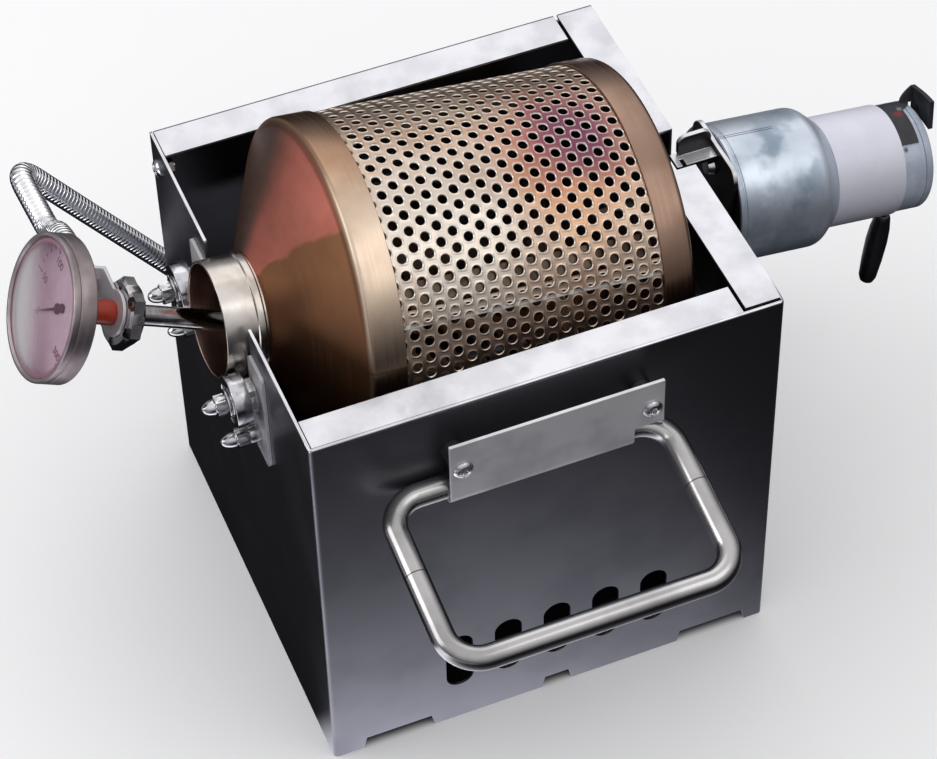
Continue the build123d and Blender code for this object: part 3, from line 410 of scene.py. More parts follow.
def nurbs_line(points: Sequence[Point], count: int) -> Array:
    """Reads evenly spaced points, in millimetres, along the NURBS line of a route.

    Args:
        points: Control points of the route.
        count: Number of points wanted.

    Returns:
        The points, count by 3.
    """
    line = melted(nurbs_curve("route", points))[0] / MM
    run = run_along(line)
    wanted = np.linspace(0, run[-1], count)
    return np.stack([np.interp(wanted, run, line[:, axis]) for axis in range(3)], axis=1)


# Shader graphs


def tone(red: int, green: int, blue: int) -> tuple[float, ...]:
    """Returns a display colour of 0 to 255 as a linear one.

    Args:
        red: Red share.
        green: Green share.
        blue: Blue share.

    Returns:
        The linear colour, with full alpha.
    """
    share = np.array([red, green, blue]) / 255
    linear = np.where(share <= 0.04045, share / 12.92, ((share + 0.055) / 1.055) ** 2.4)
    return (*linear.tolist(), 1.0)


class Wire:
    """A socket's value in a graph, with arithmetic that adds Math nodes."""

    def __init__(self, graph: "Graph", socket: bpy.types.NodeSocket) -> None:
        """Keeps the socket and its graph."""
        self.graph = graph
        self.socket = socket

    def __add__(self, other: object) -> "Wire":
        """Adds a sum."""
        return self.graph.math("ADD", self, other)

    def __sub__(self, other: object) -> "Wire":
        """Adds a difference."""
        return self.graph.math("SUBTRACT", self, other)

    def __mul__(self, other: object) -> "Wire":
        """Adds a product."""
        return self.graph.math("MULTIPLY", self, other)

    def __truediv__(self, other: object) -> "Wire":
        """Adds a quotient."""
        return self.graph.math("DIVIDE", self, other)

    def __abs__(self) -> "Wire":
        """Adds the value without its sign."""
        return self.graph.math("ABSOLUTE", self)

    def larger(self, other: object) -> "Wire":
        """Adds the larger of two values."""
        return self.graph.math("MAXIMUM", self, other)

    def ease(self, low: object, high: object, bottom: float = 0.0, top: float = 1.0) -> "Wire":
        """Adds a smooth step from bottom at low to top at high.

        Args:
            low: Value where the step starts.
            high: Value where it ends.
            bottom: Result at low.
            top: Result at high.

        Returns:
            The result.
        """
        smooth = {"interpolation_type": "SMOOTHSTEP"}
        ends = {"From_Min": low, "From_Max": high, "To_Min": bottom, "To_Max": top}
        return self.graph.wire(self.graph.add("ShaderNodeMapRange", smooth, Value=self, **ends), "Result")


class Graph:
    """Builds nodes in one node tree."""

    def __init__(self, tree: Tree) -> None:
        """Keeps the tree that the nodes go into."""
        self.tree = tree

    def put(self, socket: bpy.types.NodeSocket, value: object) -> None:
        """Links a wire to an input, or sets the input's own value.

        Args:
            socket: The input.
            value: The wire or value.
        """
        if isinstance(value, Wire):
            self.tree.links.new(value.socket, socket)
        else:
            socket.default_value = value

    def fill(self, node: bpy.types.Node, inputs: dict[str, object]) -> bpy.types.Node:
        """Puts values or wires on a node's inputs.

        Args:
            node: The node.
            inputs: Values or wires by the inputs' names, with _ for a space.

        Returns:
            The node.
        """
        for name, value in inputs.items():
            self.put(node.inputs[name.replace("_", " ")], value)
        return node

    def add(self, kind: str, settings: dict | None = None, **inputs: object) -> bpy.types.Node:
        """Adds a node.

        Args:
            kind: Type of the node.
            settings: The node's own properties.
            inputs: Values or wires for its inputs.

        Returns:
            The node.
        """
        node = self.tree.nodes.new(kind)
        for name, value in (settings or {}).items():
            setattr(node, name, value)
        return self.fill(node, inputs)

    def wire(self, node: bpy.types.Node, output: int | str = 0) -> Wire:
        """Returns one of a node's outputs."""
        return Wire(self, node.outputs[output])

    def math(self, operation: str, first: object, second: object = 0.0, kind: str = "Math") -> Wire:
        """Adds a calculation.

        Args:
            operation: What it does.
            first: First value or wire.
            second: Second value or wire, where it takes two.
            kind: Math for numbers, VectorMath for vectors.

        Returns:
            Its first output.
        """
        node = self.add(f"ShaderNode{kind}", {"operation": operation})
        self.put(node.inputs[0], first)
        self.put(node.inputs[1], second)
        return self.wire(node)

    def vectors(self, operation: str, first: object, second: object) -> Wire:
        """Adds a calculation with two vectors and returns its vector."""
        return self.math(operation, first, second, "VectorMath")

    def dot(self, first: object, second: object) -> Wire:
        """Adds the dot product of two vectors."""
        product = self.vectors("DOT_PRODUCT", first, second)
        return self.wire(product.socket.node, "Value")

    def blend(self, share: object, first: object, second: object) -> Wire:
        """Adds a mix of two colours, each a wire or a display colour.

        Args:
            share: Share of the second.
            first: First colour.
            second: Second colour.

        Returns:
            The mixed colour.
        """
        node = self.add("ShaderNodeMix", {"data_type": "RGBA"})
        self.put(node.inputs[0], share)
        for index, colour in ((6, first), (7, second)):
            self.put(node.inputs[index], colour if isinstance(colour, Wire) else tone(*colour))
        return self.wire(node, 2)

    def noise(self, vector: object, scale: object, detail: float = 2.0, rough: float = 0.5) -> Wire:
        """Adds a noise texture and returns its value, from 0 to 1."""
        inputs = {"Vector": vector, "Scale": scale, "Detail": detail, "Roughness": rough}
        return self.wire(self.add("ShaderNodeTexNoise", **inputs))

    def here(self, kind: str = "Object") -> Wire:
        """Adds texture coordinates of a kind."""
        return self.wire(self.add("ShaderNodeTexCoord"), kind)

    def split(self, vector: Wire) -> list[Wire]:
        """Adds a vector's X, Y and Z."""
        node = self.add("ShaderNodeSeparateXYZ", Vector=vector)
        return [self.wire(node, axis) for axis in "XYZ"]

    def use(self, group: Tree, **inputs: object) -> list[Wire]:
        """Places a node group and returns its outputs."""
        node = self.add("ShaderNodeGroup", {"node_tree": group}, **inputs)
        return [self.wire(node, index) for index in range(len(node.outputs))]

    def give(self, **outputs: object) -> Tree:
        """Fills a group's outputs and returns the group."""
        self.add("NodeGroupOutput", **outputs)
        return self.tree


def open_group(name: str, vectors: str, values: str, gives: str) -> tuple[Graph, list[Wire]]:
    """Starts a node group with named sockets.

    Args:
        name: Name of the group.
        vectors: Names of its vector inputs.
        values: Names of its value inputs.
        gives: Names of its outputs, all values.

    Returns:
        The group's graph, and its inputs in that order.
    """
    tree = bpy.data.node_groups.new(name, "ShaderNodeTree")
    sockets = ((vectors, "INPUT", "Vector"), (values, "INPUT", "Float"), (gives, "OUTPUT", "Float"))
    for names, way, kind in sockets:
        for socket in names.split():
            tree.interface.new_socket(name=socket, in_out=way, socket_type=f"NodeSocket{kind}")
    graph = Graph(tree)
    given = graph.add("NodeGroupInput")
    return graph, [graph.wire(given, socket) for socket in f"{vectors} {values}".split()]


def axis_place_group() -> Tree:
    """Makes the group that gives a point's station, angle and radius about an axis.

    Returns:
        The group: station and radius in millimetres, angle in degrees from Out.
    """
    graph, given = open_group("axis_place", "Vector Origin Along Out Side", "", "Station Angle Radius")
    vector, origin, *ways = given
    offset = graph.vectors("SUBTRACT", vector, origin)
    station, rise, side = (graph.dot(offset, way) for way in ways)
    angle = graph.math("DEGREES", graph.math("ARCTAN2", side, rise))
    radius = graph.math("SQRT", rise * rise + side * side)
    return graph.give(Station=station / MM, Angle=angle, Radius=radius / MM)


def brush_marks_group() -> Tree:
    """Makes the group that draws fine streaks, stretched by a vector of streaks per unit.

    Returns:
        The group.
    """
    graph, (vector, stretch) = open_group("brush_marks", "Vector Stretch", "", "Mark")
    stretched = graph.vectors("MULTIPLY", vector, stretch)
    fine = graph.noise(stretched, 1.0, 3.0, 0.65)
    broad = graph.noise(graph.vectors("MULTIPLY", stretched, (0.3, 0.3, 0.3)), 1.0, 1.0, 0.5)
    return graph.give(Mark=(fine * 0.65 + broad * 0.35).ease(0.3, 0.7))


def soft_clouds_group() -> Tree:
    """Makes the group that draws soft patches of a given scale, with their edges from Low to High."""
    graph, (vector, scale, low, high) = open_group("soft_clouds", "Vector", "Scale Low High", "Mask")
    return graph.give(Mask=graph.noise(vector, scale, 3.0, 0.55).ease(low, high))


def tint_patch_group() -> Tree:
    """Makes the group that masks an uneven oval patch about a station and an angle.

    Returns:
        The group.
    """
    names = "Station Angle Middle Turn Length Sweep Wobble"
    graph, given = open_group("tint_patch", "", names, "Mask")
    station, angle, middle, turn, length, sweep, wobble = given
    across = (station - middle) / length
    around = (angle - turn) / sweep
    far = graph.math("SQRT", across * across + around * around) + wobble
    return graph.give(Mask=far.ease(0.15, 1.0, 1.0, 0.0))


def zinc_spangle_group() -> Tree:
    """Makes the group that mottles a plated skin with large soft crystals.

    Returns:
        The group.
    """
    graph, (vector, scale) = open_group("zinc_spangle", "Vector", "Scale", "Mask")
    swirl = graph.add("ShaderNodeTexNoise", Vector=vector, Scale=scale, Detail=3.0)
    stir = graph.vectors("MULTIPLY", graph.wire(swirl, "Color"), (0.01, 0.01, 0.01))
    bent = graph.vectors("ADD", vector, stir)
    cells = graph.add("ShaderNodeTexVoronoi", {"feature": "SMOOTH_F1"}, Vector=bent, Scale=scale)
    shade = graph.wire(cells, "Distance") * graph.wire(swirl)
    return graph.give(Mask=shade.ease(0.05, 0.45))


AXIS_PLACE = axis_place_group()
BRUSH_MARKS = brush_marks_group()
SOFT_CLOUDS = soft_clouds_group()
TINT_PATCH = tint_patch_group()
ZINC_SPANGLE = zinc_spangle_group()


# Finishes


class Grain(Enum):
    """Which way a metal was brushed: streaks per metre along X, Y and Z, or the axis they run about."""

    ALONG_X = (30.0, 2600.0, 2600.0)
    ALONG_Y = (2600.0, 30.0, 2600.0)
    ALONG_Z = (2600.0, 2600.0, 30.0)
    ROUND_DRUM = DRUM
    ROUND_PROBE = PROBE


ROUND_STRETCH = (2.4, 1.4, 1.4)
ROUND_RISE = 1.7


@dataclass(frozen=True)
class Spot:
    """A patch of colour about an axis: its station and angle, length and sweep, and colour."""

    station: float
    angle: float
    length: float
    sweep: float
    colour: Colour


class Skin(Graph):
    """Nodes of one material, which feed its Principled shader."""

    def paint(self, **inputs: object) -> None:
        """Puts values or wires on the shader's inputs."""
        self.fill(self.tree.nodes["Principled BSDF"], inputs)

    def relief(self, height: Wire, depth: float, strength: float) -> None:
        """Feeds a height, in shares of a depth in millimetres, to the shader's normal."""
        bump = self.add("ShaderNodeBump", Height=height, Distance=depth * MM, Strength=strength)
        self.paint(Normal=self.wire(bump))

    def clouds(self, scale: float, low: float, high: float) -> Wire:
        """Places soft patches and returns their mask."""
        return self.use(SOFT_CLOUDS, Vector=self.here(), Scale=scale, Low=low, High=high)[0]

    def about(self, axis: AxisFrame) -> list[Wire]:
        """Places the group that reads a point's place about an axis.

        Args:
            axis: The axis.

        Returns:
            Station, angle and radius.
        """
        origin = tuple(value * MM for value in axis.origin)
        ways = {"Along": axis.along, "Out": axis.out, "Side": tuple(np.cross(axis.out, axis.along))}
        return self.use(AXIS_PLACE, Vector=self.here(), Origin=origin, **ways)

    def marks(self, grain: Grain) -> Wire:
        """Places the streaks of a grain.

        Args:
            grain: Direction of the streaks; a round one runs about its axis without a seam.

        Returns:
            The streaks' value, from 0 to 1.
        """
        if not isinstance(grain.value, AxisFrame):
            return self.use(BRUSH_MARKS, Vector=self.here(), Stretch=grain.value)[0]
        station, angle, radius = self.about(grain.value)
        turn = self.math("RADIANS", angle)
        level = self.math("SINE", turn) + radius * ROUND_RISE
        ring = self.add("ShaderNodeCombineXYZ", X=station, Y=self.math("COSINE", turn), Z=level)
        return self.use(BRUSH_MARKS, Vector=self.wire(ring), Stretch=ROUND_STRETCH)[0]

    def spotted(self, colour: Wire, spots: Sequence[Spot], axis: AxisFrame, wobble: object = 0.0) -> Wire:
        """Lays spots over a colour.

        Args:
            colour: The colour below.
            spots: The spots, from the lowest up.
            axis: Axis that they lie about.
            wobble: Unevenness of their edges.

        Returns:
            The colour with its spots.
        """
        for spot in spots:
            station, angle, _ = self.about(axis)
            sizes = {"Middle": spot.station, "Turn": spot.angle, "Length": spot.length, "Sweep": spot.sweep}
            mask = self.use(TINT_PATCH, Station=station, Angle=angle, Wobble=wobble, **sizes)[0]
            colour = self.blend(mask, colour, spot.colour)
        return colour


@dataclass(frozen=True)
class Finish:
    """A material, with the record's slot that it stands for."""

    name: str
    slot: str

    def material(self) -> bpy.types.Material:
        """Builds the finish's material the first time.

        Returns:
            The material.
        """
        name = f"look_{self.name}"
        material = bpy.data.materials.get(name)
        if material is None:
            material = bpy.data.materials.new(name)
            material.use_nodes = True
            self.shade(Skin(material.node_tree))
        return material

    def shade(self, skin: Skin) -> None:
        """Builds the nodes of a material in its skin; each kind of finish has its own."""
        raise NotImplementedError


@dataclass(frozen=True)
class Metal(Finish):
    """Brushed or polished metal, with streaks along its grain and soft cloudy stains."""

    colour: Colour
    stain: Colour
    roughness: float
    spread: float
    grain: Grain = Grain.ALONG_X
    cloud: float = 60.0
    depth: float = 0.02
    strength: float = 0.3
    metallic: float = 1.0
    cloud_edge: Span = (0.38, 0.68)

    def shade(self, skin: Skin) -> None:
        """Mixes the stain into the colour by clouds, and roughens by streaks and clouds.

        Args:
            skin: Nodes of the material.
        """
        marks = skin.marks(self.grain)
        clouds = skin.clouds(self.cloud, *self.cloud_edge)
        roughness = (marks - 0.5) * self.spread + clouds * (self.spread / 2) + self.roughness
        skin.paint(Base_Color=self.tint(skin, clouds), Roughness=roughness, Metallic=self.metallic)
        skin.relief(marks, self.depth, self.strength)

    def tint(self, skin: Skin, clouds: Wire) -> Wire:
        """Returns the colour, stained where the clouds are."""
        return skin.blend(clouds, self.colour, self.stain)


@dataclass(frozen=True)
class RodSteel(Metal):
    """Polished rod whose two halves meet at a fine dark line on each arm."""

    seam: Colour = (52, 48, 48)
    seam_share: float = 0.8
    seam_edge: Span = (0.1, 0.45)
    seam_middle: Point = (0.0, -133.84, 153.43)
    arm: Point = (0.0, -0.98357, -0.18052)

    def tint(self, skin: Skin, clouds: Wire) -> Wire:
        """Draws the line where the arms cross the seam's plane.

        Args:
            skin: Nodes of the material.
            clouds: Mask of the stains.

        Returns:
            The stained colour with the line.
        """
        middle = tuple(value * MM for value in self.seam_middle)
        off = abs(skin.dot(skin.vectors("SUBTRACT", skin.here(), middle), self.arm))
        line = off.ease(*(edge * MM for edge in self.seam_edge), self.seam_share, 0.0)
        return skin.blend(line, super().tint(skin, clouds), self.seam)


@dataclass(frozen=True)
class HookSteel(Metal):
    """Polished bracket whose upright faces carry a painted dark reflection of the box, so only its level ones
    are bright.
    """

    # Painted reflection: the dark colour that upright faces take for the box they would mirror.
    upright: Colour = (44, 43, 46)
    level_edge: Span = (0.2, 0.5)

    def tint(self, skin: Skin, clouds: Wire) -> Wire:
        """Returns the stained colour on level faces, and a painted dark reflection on upright faces."""
        level = skin.dot(skin.here("Normal"), UP).ease(*self.level_edge)
        return skin.blend(level, self.upright, super().tint(skin, clouds))


@dataclass(frozen=True)
class BoxSteel(Finish):
    """Mirror-polished sheet whose flanges are brushed; edges along Y are shares of the back edge."""

    flange_levels: Span = (196.7, 197.1)
    back_edge: float = 95.5
    brink_edge: Span = (0.991, 0.996)
    fold: Step = (-0.995, -0.988, -0.18, 0.0)
    streak: Point = (160.0, 110.0, 900.0)
    smear: Point = (26.0, 0.36, 0.7)
    blot: Point = (60.0, 0.38, 0.64)
    wall_rough: float = 0.36
    wall_spread: float = 0.05
    flange_rough: float = 0.34
    flange_spread: float = 0.08
    depth: float = 0.02
    strength: float = 0.1
    # The wall's colours are darker than the flange's: partly painted shade for the dark surroundings that the
    # polished wall mirrors.
    wall: Colour = (116, 116, 122)
    wall_stain: Colour = (106, 107, 113)
    flange: Colour = (217, 217, 222)
    flange_stain: Colour = (188, 188, 194)
    # Painted shade: the dark line along the flange's back edge.
    brink: Colour = (70, 70, 74)

    def shade(self, skin: Skin) -> None:
        """Takes the flange finish above the flange level, with a painted shade line on its back edge, and the
        mirror below, its darkness partly painted shade.

        Args:
            skin: Nodes of the material.
        """
        _, y, z = skin.split(skin.here())
        outer = y / (self.back_edge * MM)
        top = z.ease(*(level * MM for level in self.flange_levels))
        streaks = skin.use(BRUSH_MARKS, Vector=skin.here(), Stretch=self.streak)[0]
        smears = skin.clouds(*self.smear)
        rub = streaks * smears
        mottle = (rub + skin.clouds(*self.blot)) * 0.5
        flange = skin.blend(mottle, self.flange, self.flange_stain)
        # Painted shade: the flange darkens to a line along its back edge.
        flange = skin.blend(outer.ease(*self.brink_edge), flange, self.brink)
        # The wall's darker colour is partly painted shade.
        wall = skin.blend(smears, self.wall, self.wall_stain)
        dull = smears * self.wall_spread + self.wall_rough
        matt = rub * self.flange_spread + outer.ease(*self.fold) + self.flange_rough
        roughness = dull + (matt - dull) * top
        skin.paint(Base_Color=skin.blend(top, wall, flange), Roughness=roughness, Metallic=1.0)
        skin.relief(streaks * top, self.depth, self.strength)


@dataclass(frozen=True)
class DrumTint(Finish):
    """Steel that roasting has tinted in straw, brown and purple."""

    straw: Colour = (198, 176, 156)
    brown: Colour = (176, 142, 120)
    broad: Point = (22.0, 0.3, 0.7)
    patches: tuple[Spot, ...] = (
        Spot(-30.0, -34.0, 62.0, 42.0, (218, 207, 195)),
        Spot(28.0, -22.0, 34.0, 30.0, (208, 168, 126)),
        Spot(32.0, -8.0, 42.0, 38.0, (180, 116, 100)),
        Spot(37.0, -7.0, 30.0, 26.0, (120, 70, 92)),
    )
    wobble: Point = (45.0, 3.0, 0.6)
    wobble_size: float = 0.9
    # Darker colour below the seam and towards the back.
    soot: Colour = (172, 136, 114)
    below: Step = (-62.0, -56.0, 0.35, 0.0)
    behind: Step = (20.0, 90.0, 0.0, 0.5)
    # Painted highlight colour, laid on the hole rims and along the lap's edge.
    worn: Colour = (252, 246, 238)
    seam: float = -58.3
    # Masks of the painted highlight along the lap and round the hole rims.
    lap: Step = (0.3, 1.1, 0.9, 0.0)
    lap_fleck: Span = (0.35, 0.55)
    rim: Step = (0.55, 1.0, 0.0, 0.55)
    # Painted shade: the inside is darker, for the drum's dark inside seen through the holes.
    inside: Colour = (104, 78, 62)
    inner_edge: Span = (73.15, 73.55)
    fine: Point = (140.0, 4.0, 0.6)
    rough: Step = (0.25, 0.75, 0.3, 0.46)
    dish: Span = (0.3, 1.2)
    grit: float = 0.15
    depth: float = 0.3
    strength: float = 0.5

    def shade(self, skin: Skin) -> None:
        """Lays patches of tint over straw and brown, darkens it below the seam and towards the back, and
        paints highlights on the hole rims and lap and shade on the inside.

        Args:
            skin: Nodes of the material.
        """
        _, angle, radius = skin.about(DRUM)
        fine = skin.noise(skin.here(), *self.fine)
        wobble = (skin.noise(skin.here(), *self.wobble) - 0.5) * self.wobble_size
        colour = skin.blend(skin.clouds(*self.broad), self.straw, self.brown)
        colour = skin.spotted(colour, self.patches, DRUM, wobble)
        # Darker below the seam and towards the back.
        colour = skin.blend(angle.ease(*self.below) + angle.ease(*self.behind), colour, self.soot)
        rim = skin.wire(skin.add("ShaderNodeAttribute", {"attribute_name": "rim"}), "Fac")
        # Painted highlights: bright rims round the holes and a bright line along the lap.
        lap = abs(angle - self.seam).ease(*self.lap) * fine.ease(*self.lap_fleck)
        colour = skin.blend(lap.larger(rim.ease(*self.rim)), colour, self.worn)
        # Painted shade: the inside of the wall takes the dark colour.
        colour = skin.blend(radius.ease(*self.inner_edge), self.inside, colour)
        skin.paint(Base_Color=colour, Roughness=fine.ease(*self.rough), Metallic=1.0)
        skin.relief(rim.ease(*self.dish) + fine * self.grit, self.depth, self.strength)


@dataclass(frozen=True)
class EndTint(Finish):
    """Spun steel of the drum's ends: pink cone, bronze front band and mauve rear band."""

    band: Colour = (224, 202, 180)
    band_edge: Span = (-1.4, -0.6)
    # Painted shade on the band's top; also the colour of the dark line at the band's lap.
    band_top: Colour = (166, 132, 108)
    top_edge: Span = (-28.0, 2.0)
    lap_angle: float = -70.5
    lap: Step = (0.2, 0.6, 0.7, 0.0)
    cone: Colour = (200, 122, 106)
    cone_edge: float = -67.5
    rag: float = 9.0
    rag_scale: float = 90.0
    pink_slant: float = 0.63
    pink_edge: Span = (-24.0, -21.0)
    # Painted reflection: the brown lower part of the cone.
    cone_low: Colour = (150, 106, 76)
    # Painted shade on the cone's far side.
    cone_far: Colour = (122, 98, 88)
    far_edge: Span = (18.0, 40.0)
    rear: Colour = (160, 132, 116)
    rear_edge: Span = (0.0, 1.0)
    # Dark colour: stains by clouds, and painted shade low down, in the nook by the neck and in the crease at
    # the cone's edge.
    dark: Colour = (86, 58, 42)
    cloud: Point = (30.0, 0.35, 0.7)
    cloud_share: float = 0.3
    crease_past: float = -1.2
    crease: Step = (0.3, 1.1, 0.55, 0.0)
    low: Step = (-76.0, -38.0, 0.8, 0.0)
    nook: Step = (-90.0, -73.0, 0.6, 0.0)
    nook_turn: Step = (-46.0, -28.0, 1.0, 0.0)
    rough: Step = (0.0, 1.0, 0.26, 0.34)
    dull: Step = (-0.6, 0.6, 0.2, 0.0)
    depth: float = 0.01
    strength: float = 0.05

    def shade(self, skin: Skin) -> None:
        """Colours by station, splits the cone at two angles into painted reflection and painted shade, and
        paints shade on the band's top, low down, in the nook and in the crease, and marks the band's lap.

        Args:
            skin: Nodes of the material.
        """
        station, angle, _ = skin.about(DRUM)
        past = station - self.cone_edge
        marks = skin.marks(Grain.ROUND_DRUM)
        ragged = angle + skin.noise(skin.here(), self.rag_scale) * self.rag
        pink = (ragged + past * self.pink_slant).ease(*self.pink_edge)
        # Painted reflection: the cone is brown below a ragged angle and pink above it; painted shade on its
        # far side.
        cone = skin.blend(pink, self.cone_low, self.cone)
        cone = skin.blend(ragged.ease(*self.far_edge), cone, self.cone_far)
        lap = abs(angle - self.lap_angle).ease(*self.lap)
        # Painted shade on the band's top, and the dark line at the band's lap.
        band = skin.blend(angle.ease(*self.top_edge).larger(lap), self.band, self.band_top)
        colour = skin.blend(past.ease(*self.band_edge), cone, band)
        colour = skin.blend(station.ease(*self.rear_edge), colour, self.rear)
        colour = skin.blend(skin.clouds(*self.cloud) * self.cloud_share, colour, self.dark)
        # Painted shade low down, in the nook by the neck and in the crease at the cone's edge.
        crease = abs(past - self.crease_past).ease(*self.crease)
        nook = station.ease(*self.nook) * angle.ease(*self.nook_turn)
        colour = skin.blend(angle.ease(*self.low).larger(nook).larger(crease), colour, self.dark)
        roughness = marks.ease(*self.rough) + past.ease(*self.dull)
        skin.paint(Base_Color=colour, Roughness=roughness, Metallic=1.0)
        skin.relief(marks, self.depth, self.strength)


@dataclass(frozen=True)
class NeckSteel(Finish):
    """Brushed neck, whose inside is browned by heat."""

    outside: Colour = (216, 210, 204)
    stain: Colour = (164, 148, 132)
    cloud: Point = (50.0, 0.4, 0.7)
    cloud_share: float = 0.6
    inside: Colour = (176, 150, 138)
    inner_edge: Span = (23.4, 23.8)
    rough: Step = (0.0, 1.0, 0.2, 0.27)
    depth: float = 0.015
    strength: float = 0.15

    def shade(self, skin: Skin) -> None:
        """Takes the brown inside the inner edge, and streaks round the axis.

        Args:
            skin: Nodes of the material.
        """
        radius = skin.about(DRUM)[2]
        marks = skin.marks(Grain.ROUND_DRUM)
        colour = skin.blend(skin.clouds(*self.cloud) * self.cloud_share, self.outside, self.stain)
        colour = skin.blend(radius.ease(*self.inner_edge), self.inside, colour)
        skin.paint(Base_Color=colour, Roughness=marks.ease(*self.rough), Metallic=1.0)
        skin.relief(marks, self.depth, self.strength)


@dataclass(frozen=True)
class ZincPlate(Finish):
    """Zinc-plated gear cover, mottled, with a double dark line where its sheet meets on top."""

    light: Colour = (220, 228, 240)
    dark: Colour = (146, 161, 178)
    spangle: float = 70.0
    cloud: Point = (60.0, 0.4, 0.6)
    clean: Step = (149.0, 156.0, 1.0, 0.25)
    seam: Colour = (64, 70, 80)
    seam_angle: float = 4.0
    seam_half: float = 1.1
    seam_edge: Step = (0.3, 0.7, 1.0, 0.0)
    seam_end: Step = (137.0, 138.0, 0.7, 0.0)
    rough: Step = (0.0, 1.0, 0.34, 0.52)
    metallic: float = 0.7
    depth: float = 0.15
    strength: float = 0.25

    def shade(self, skin: Skin) -> None:
        """Mottles by spangle and clouds and draws the seam by its angle.

        Args:
            skin: Nodes of the material.
        """
        station, angle, _ = skin.about(MOTOR)
        spangle = skin.use(ZINC_SPANGLE, Vector=skin.here(), Scale=self.spangle)[0]
        both = (spangle + skin.clouds(*self.cloud)) * 0.5
        colour = skin.blend(both * station.ease(*self.clean), self.light, self.dark)
        beside = abs(abs(angle - self.seam_angle) - self.seam_half)
        line = beside.ease(*self.seam_edge) * station.ease(*self.seam_end)
        colour = skin.blend(line, colour, self.seam)
        skin.paint(Base_Color=colour, Roughness=both.ease(*self.rough), Metallic=self.metallic)
        skin.relief(both, self.depth, self.strength)


@dataclass(frozen=True)
class Paint(Finish):
    """Paint, plastic, rubber or tape: a speckled colour with a fine grain, and spots on the motor."""

    colour: Colour
    fleck: Colour
    roughness: float
    spread: float
    grain_scale: float = 900.0
    depth: float = 0.05
    strength: float = 0.25
    spots: tuple[Spot, ...] = ()
    grain_noise: Span = (3.0, 0.6)
    dust: Point = (80.0, 0.35, 0.7)
    fleck_edge: Span = (0.2, 0.8)

    def shade(self, skin: Skin) -> None:
        """Mixes flecks by fine noise and dust by clouds, then lays on the spots.

        Args:
            skin: Nodes of the material.
        """
        fine = skin.noise(skin.here(), self.grain_scale, *self.grain_noise)
        mix = fine * 0.5 + skin.clouds(*self.dust) * 0.5
        colour = skin.blend(mix.ease(*self.fleck_edge), self.colour, self.fleck)
        roughness = (mix - 0.5) * (self.spread * 2) + self.roughness
        skin.paint(Base_Color=skin.spotted(colour, self.spots, MOTOR), Roughness=roughness)
        skin.relief(fine, self.depth, self.strength)


@dataclass(frozen=True)
class DialGlass(Finish):
    """Thin dial glass with a faint rose tint, clear enough to read through, carrying a painted sheen and a
    painted rim shadow.
    """

    tint: Colour = (200, 140, 172)
    # Painted reflection: the white sheen laid over one side of the glass.
    smear: Colour = (255, 252, 255)
    film: Span = (0.1, 0.5)
    sheen_way: Point = (-0.31, 0.747, -0.588)
    sheen: Span = (-0.079, -0.054)
    # Painted shadow that the rim casts round the dial's edge.
    rim: Colour = (150, 92, 114)
    rim_edge: Step = (24.6, 26.6, 0.0, 0.8)
    smudge: Point = (40.0, 0.3, 0.7)
    rough: Step = (0.0, 1.0, 0.04, 0.1)
    coat_rough: float = 0.03

    def shade(self, skin: Skin) -> None:
        """Tints, with a painted white sheen that thickens along the sheen's way, and a painted shadow of the
        rim round it.

        Args:
            skin: Nodes of the material.
        """
        side = skin.dot(skin.here(), self.sheen_way)
        # Painted shadow of the rim round the dial's edge.
        edge = skin.about(PROBE)[2].ease(*self.rim_edge)
        # Painted sheen: white laid over the glass along the sheen's way.
        colour = skin.blend(side.ease(*self.sheen), self.tint, self.smear)
        skin.paint(
            Base_Color=skin.blend(edge, colour, self.rim),
            Roughness=skin.clouds(*self.smudge).ease(*self.rough),
            Alpha=side.ease(*self.sheen, *self.film).larger(edge),
            Coat_Weight=1.0,
            Coat_Roughness=self.coat_rough,
        )


BOX_STEEL = BoxSteel("box_steel", "polished_steel")
PLATE_STEEL = Metal(
    "plate_steel", "steel_plate", (228, 227, 231), (204, 203, 208), 0.42, 0.14, cloud=40.0, metallic=0.4
)
BRACKET_STEEL = HookSteel(
    "bracket_steel", "polished_steel", (234, 233, 237), (206, 205, 210), 0.3, 0.1, cloud=50.0, metallic=0.55
)
FASTENER_STEEL = Metal(
    "fastener_steel", "bright_fasteners", (214, 214, 216), (176, 176, 180), 0.16, 0.1, Grain.ALONG_Y, 160.0
)
HANDLE_STEEL = RodSteel(
    "handle_steel", "handle_rod", (184, 182, 182), (156, 154, 154), 0.2, 0.08, cloud=30.0
)
BEARING_STEEL = Metal(
    "bearing_steel", "bearing_steel", (206, 206, 210), (160, 160, 166), 0.14, 0.1, cloud=200.0
)
DRUM_TINT = DrumTint("drum_tint", "tinted_steel")
END_TINT = EndTint("end_tint", "tinted_bands")
NECK_STEEL = NeckSteel("neck_steel", "neck_steel")
# Darker than the steel's own tone: painted shade, so the vanes seen through the holes stay dark; the hub and
# shaft take it too.
INNER_STEEL = Metal("inner_steel", "inner_steel", (108, 92, 78), (62, 48, 38), 0.4, 0.16, cloud=40.0)
ZINC_PLATE = ZincPlate("zinc_plate", "zinc_plate")
DARK_PLATE = Metal("dark_plate", "dark_plate", (96, 98, 102), (62, 63, 66), 0.42, 0.16, Grain.ALONG_Z)
CAP_GREY = Paint("cap_grey", "dark_plate", (176, 184, 200), (158, 166, 182), 0.4, 0.1, 500.0, 0.02, 0.12)
MOTOR_GREY = Paint(
    "motor_grey", "motor_grey", (226, 226, 239), (221, 221, 234), 0.34, 0.06, 500.0, 0.02, 0.12
)
CAN_GREY = Paint(
    "can_grey", "motor_grey", (192, 200, 216), (174, 182, 198), 0.36, 0.1, 500.0, 0.02, 0.12,
    # A small dark spot: painted shade for a dimple in the can.
    (Spot(194.9, -40.0, 1.6, 4.5, (70, 74, 84)),),
)
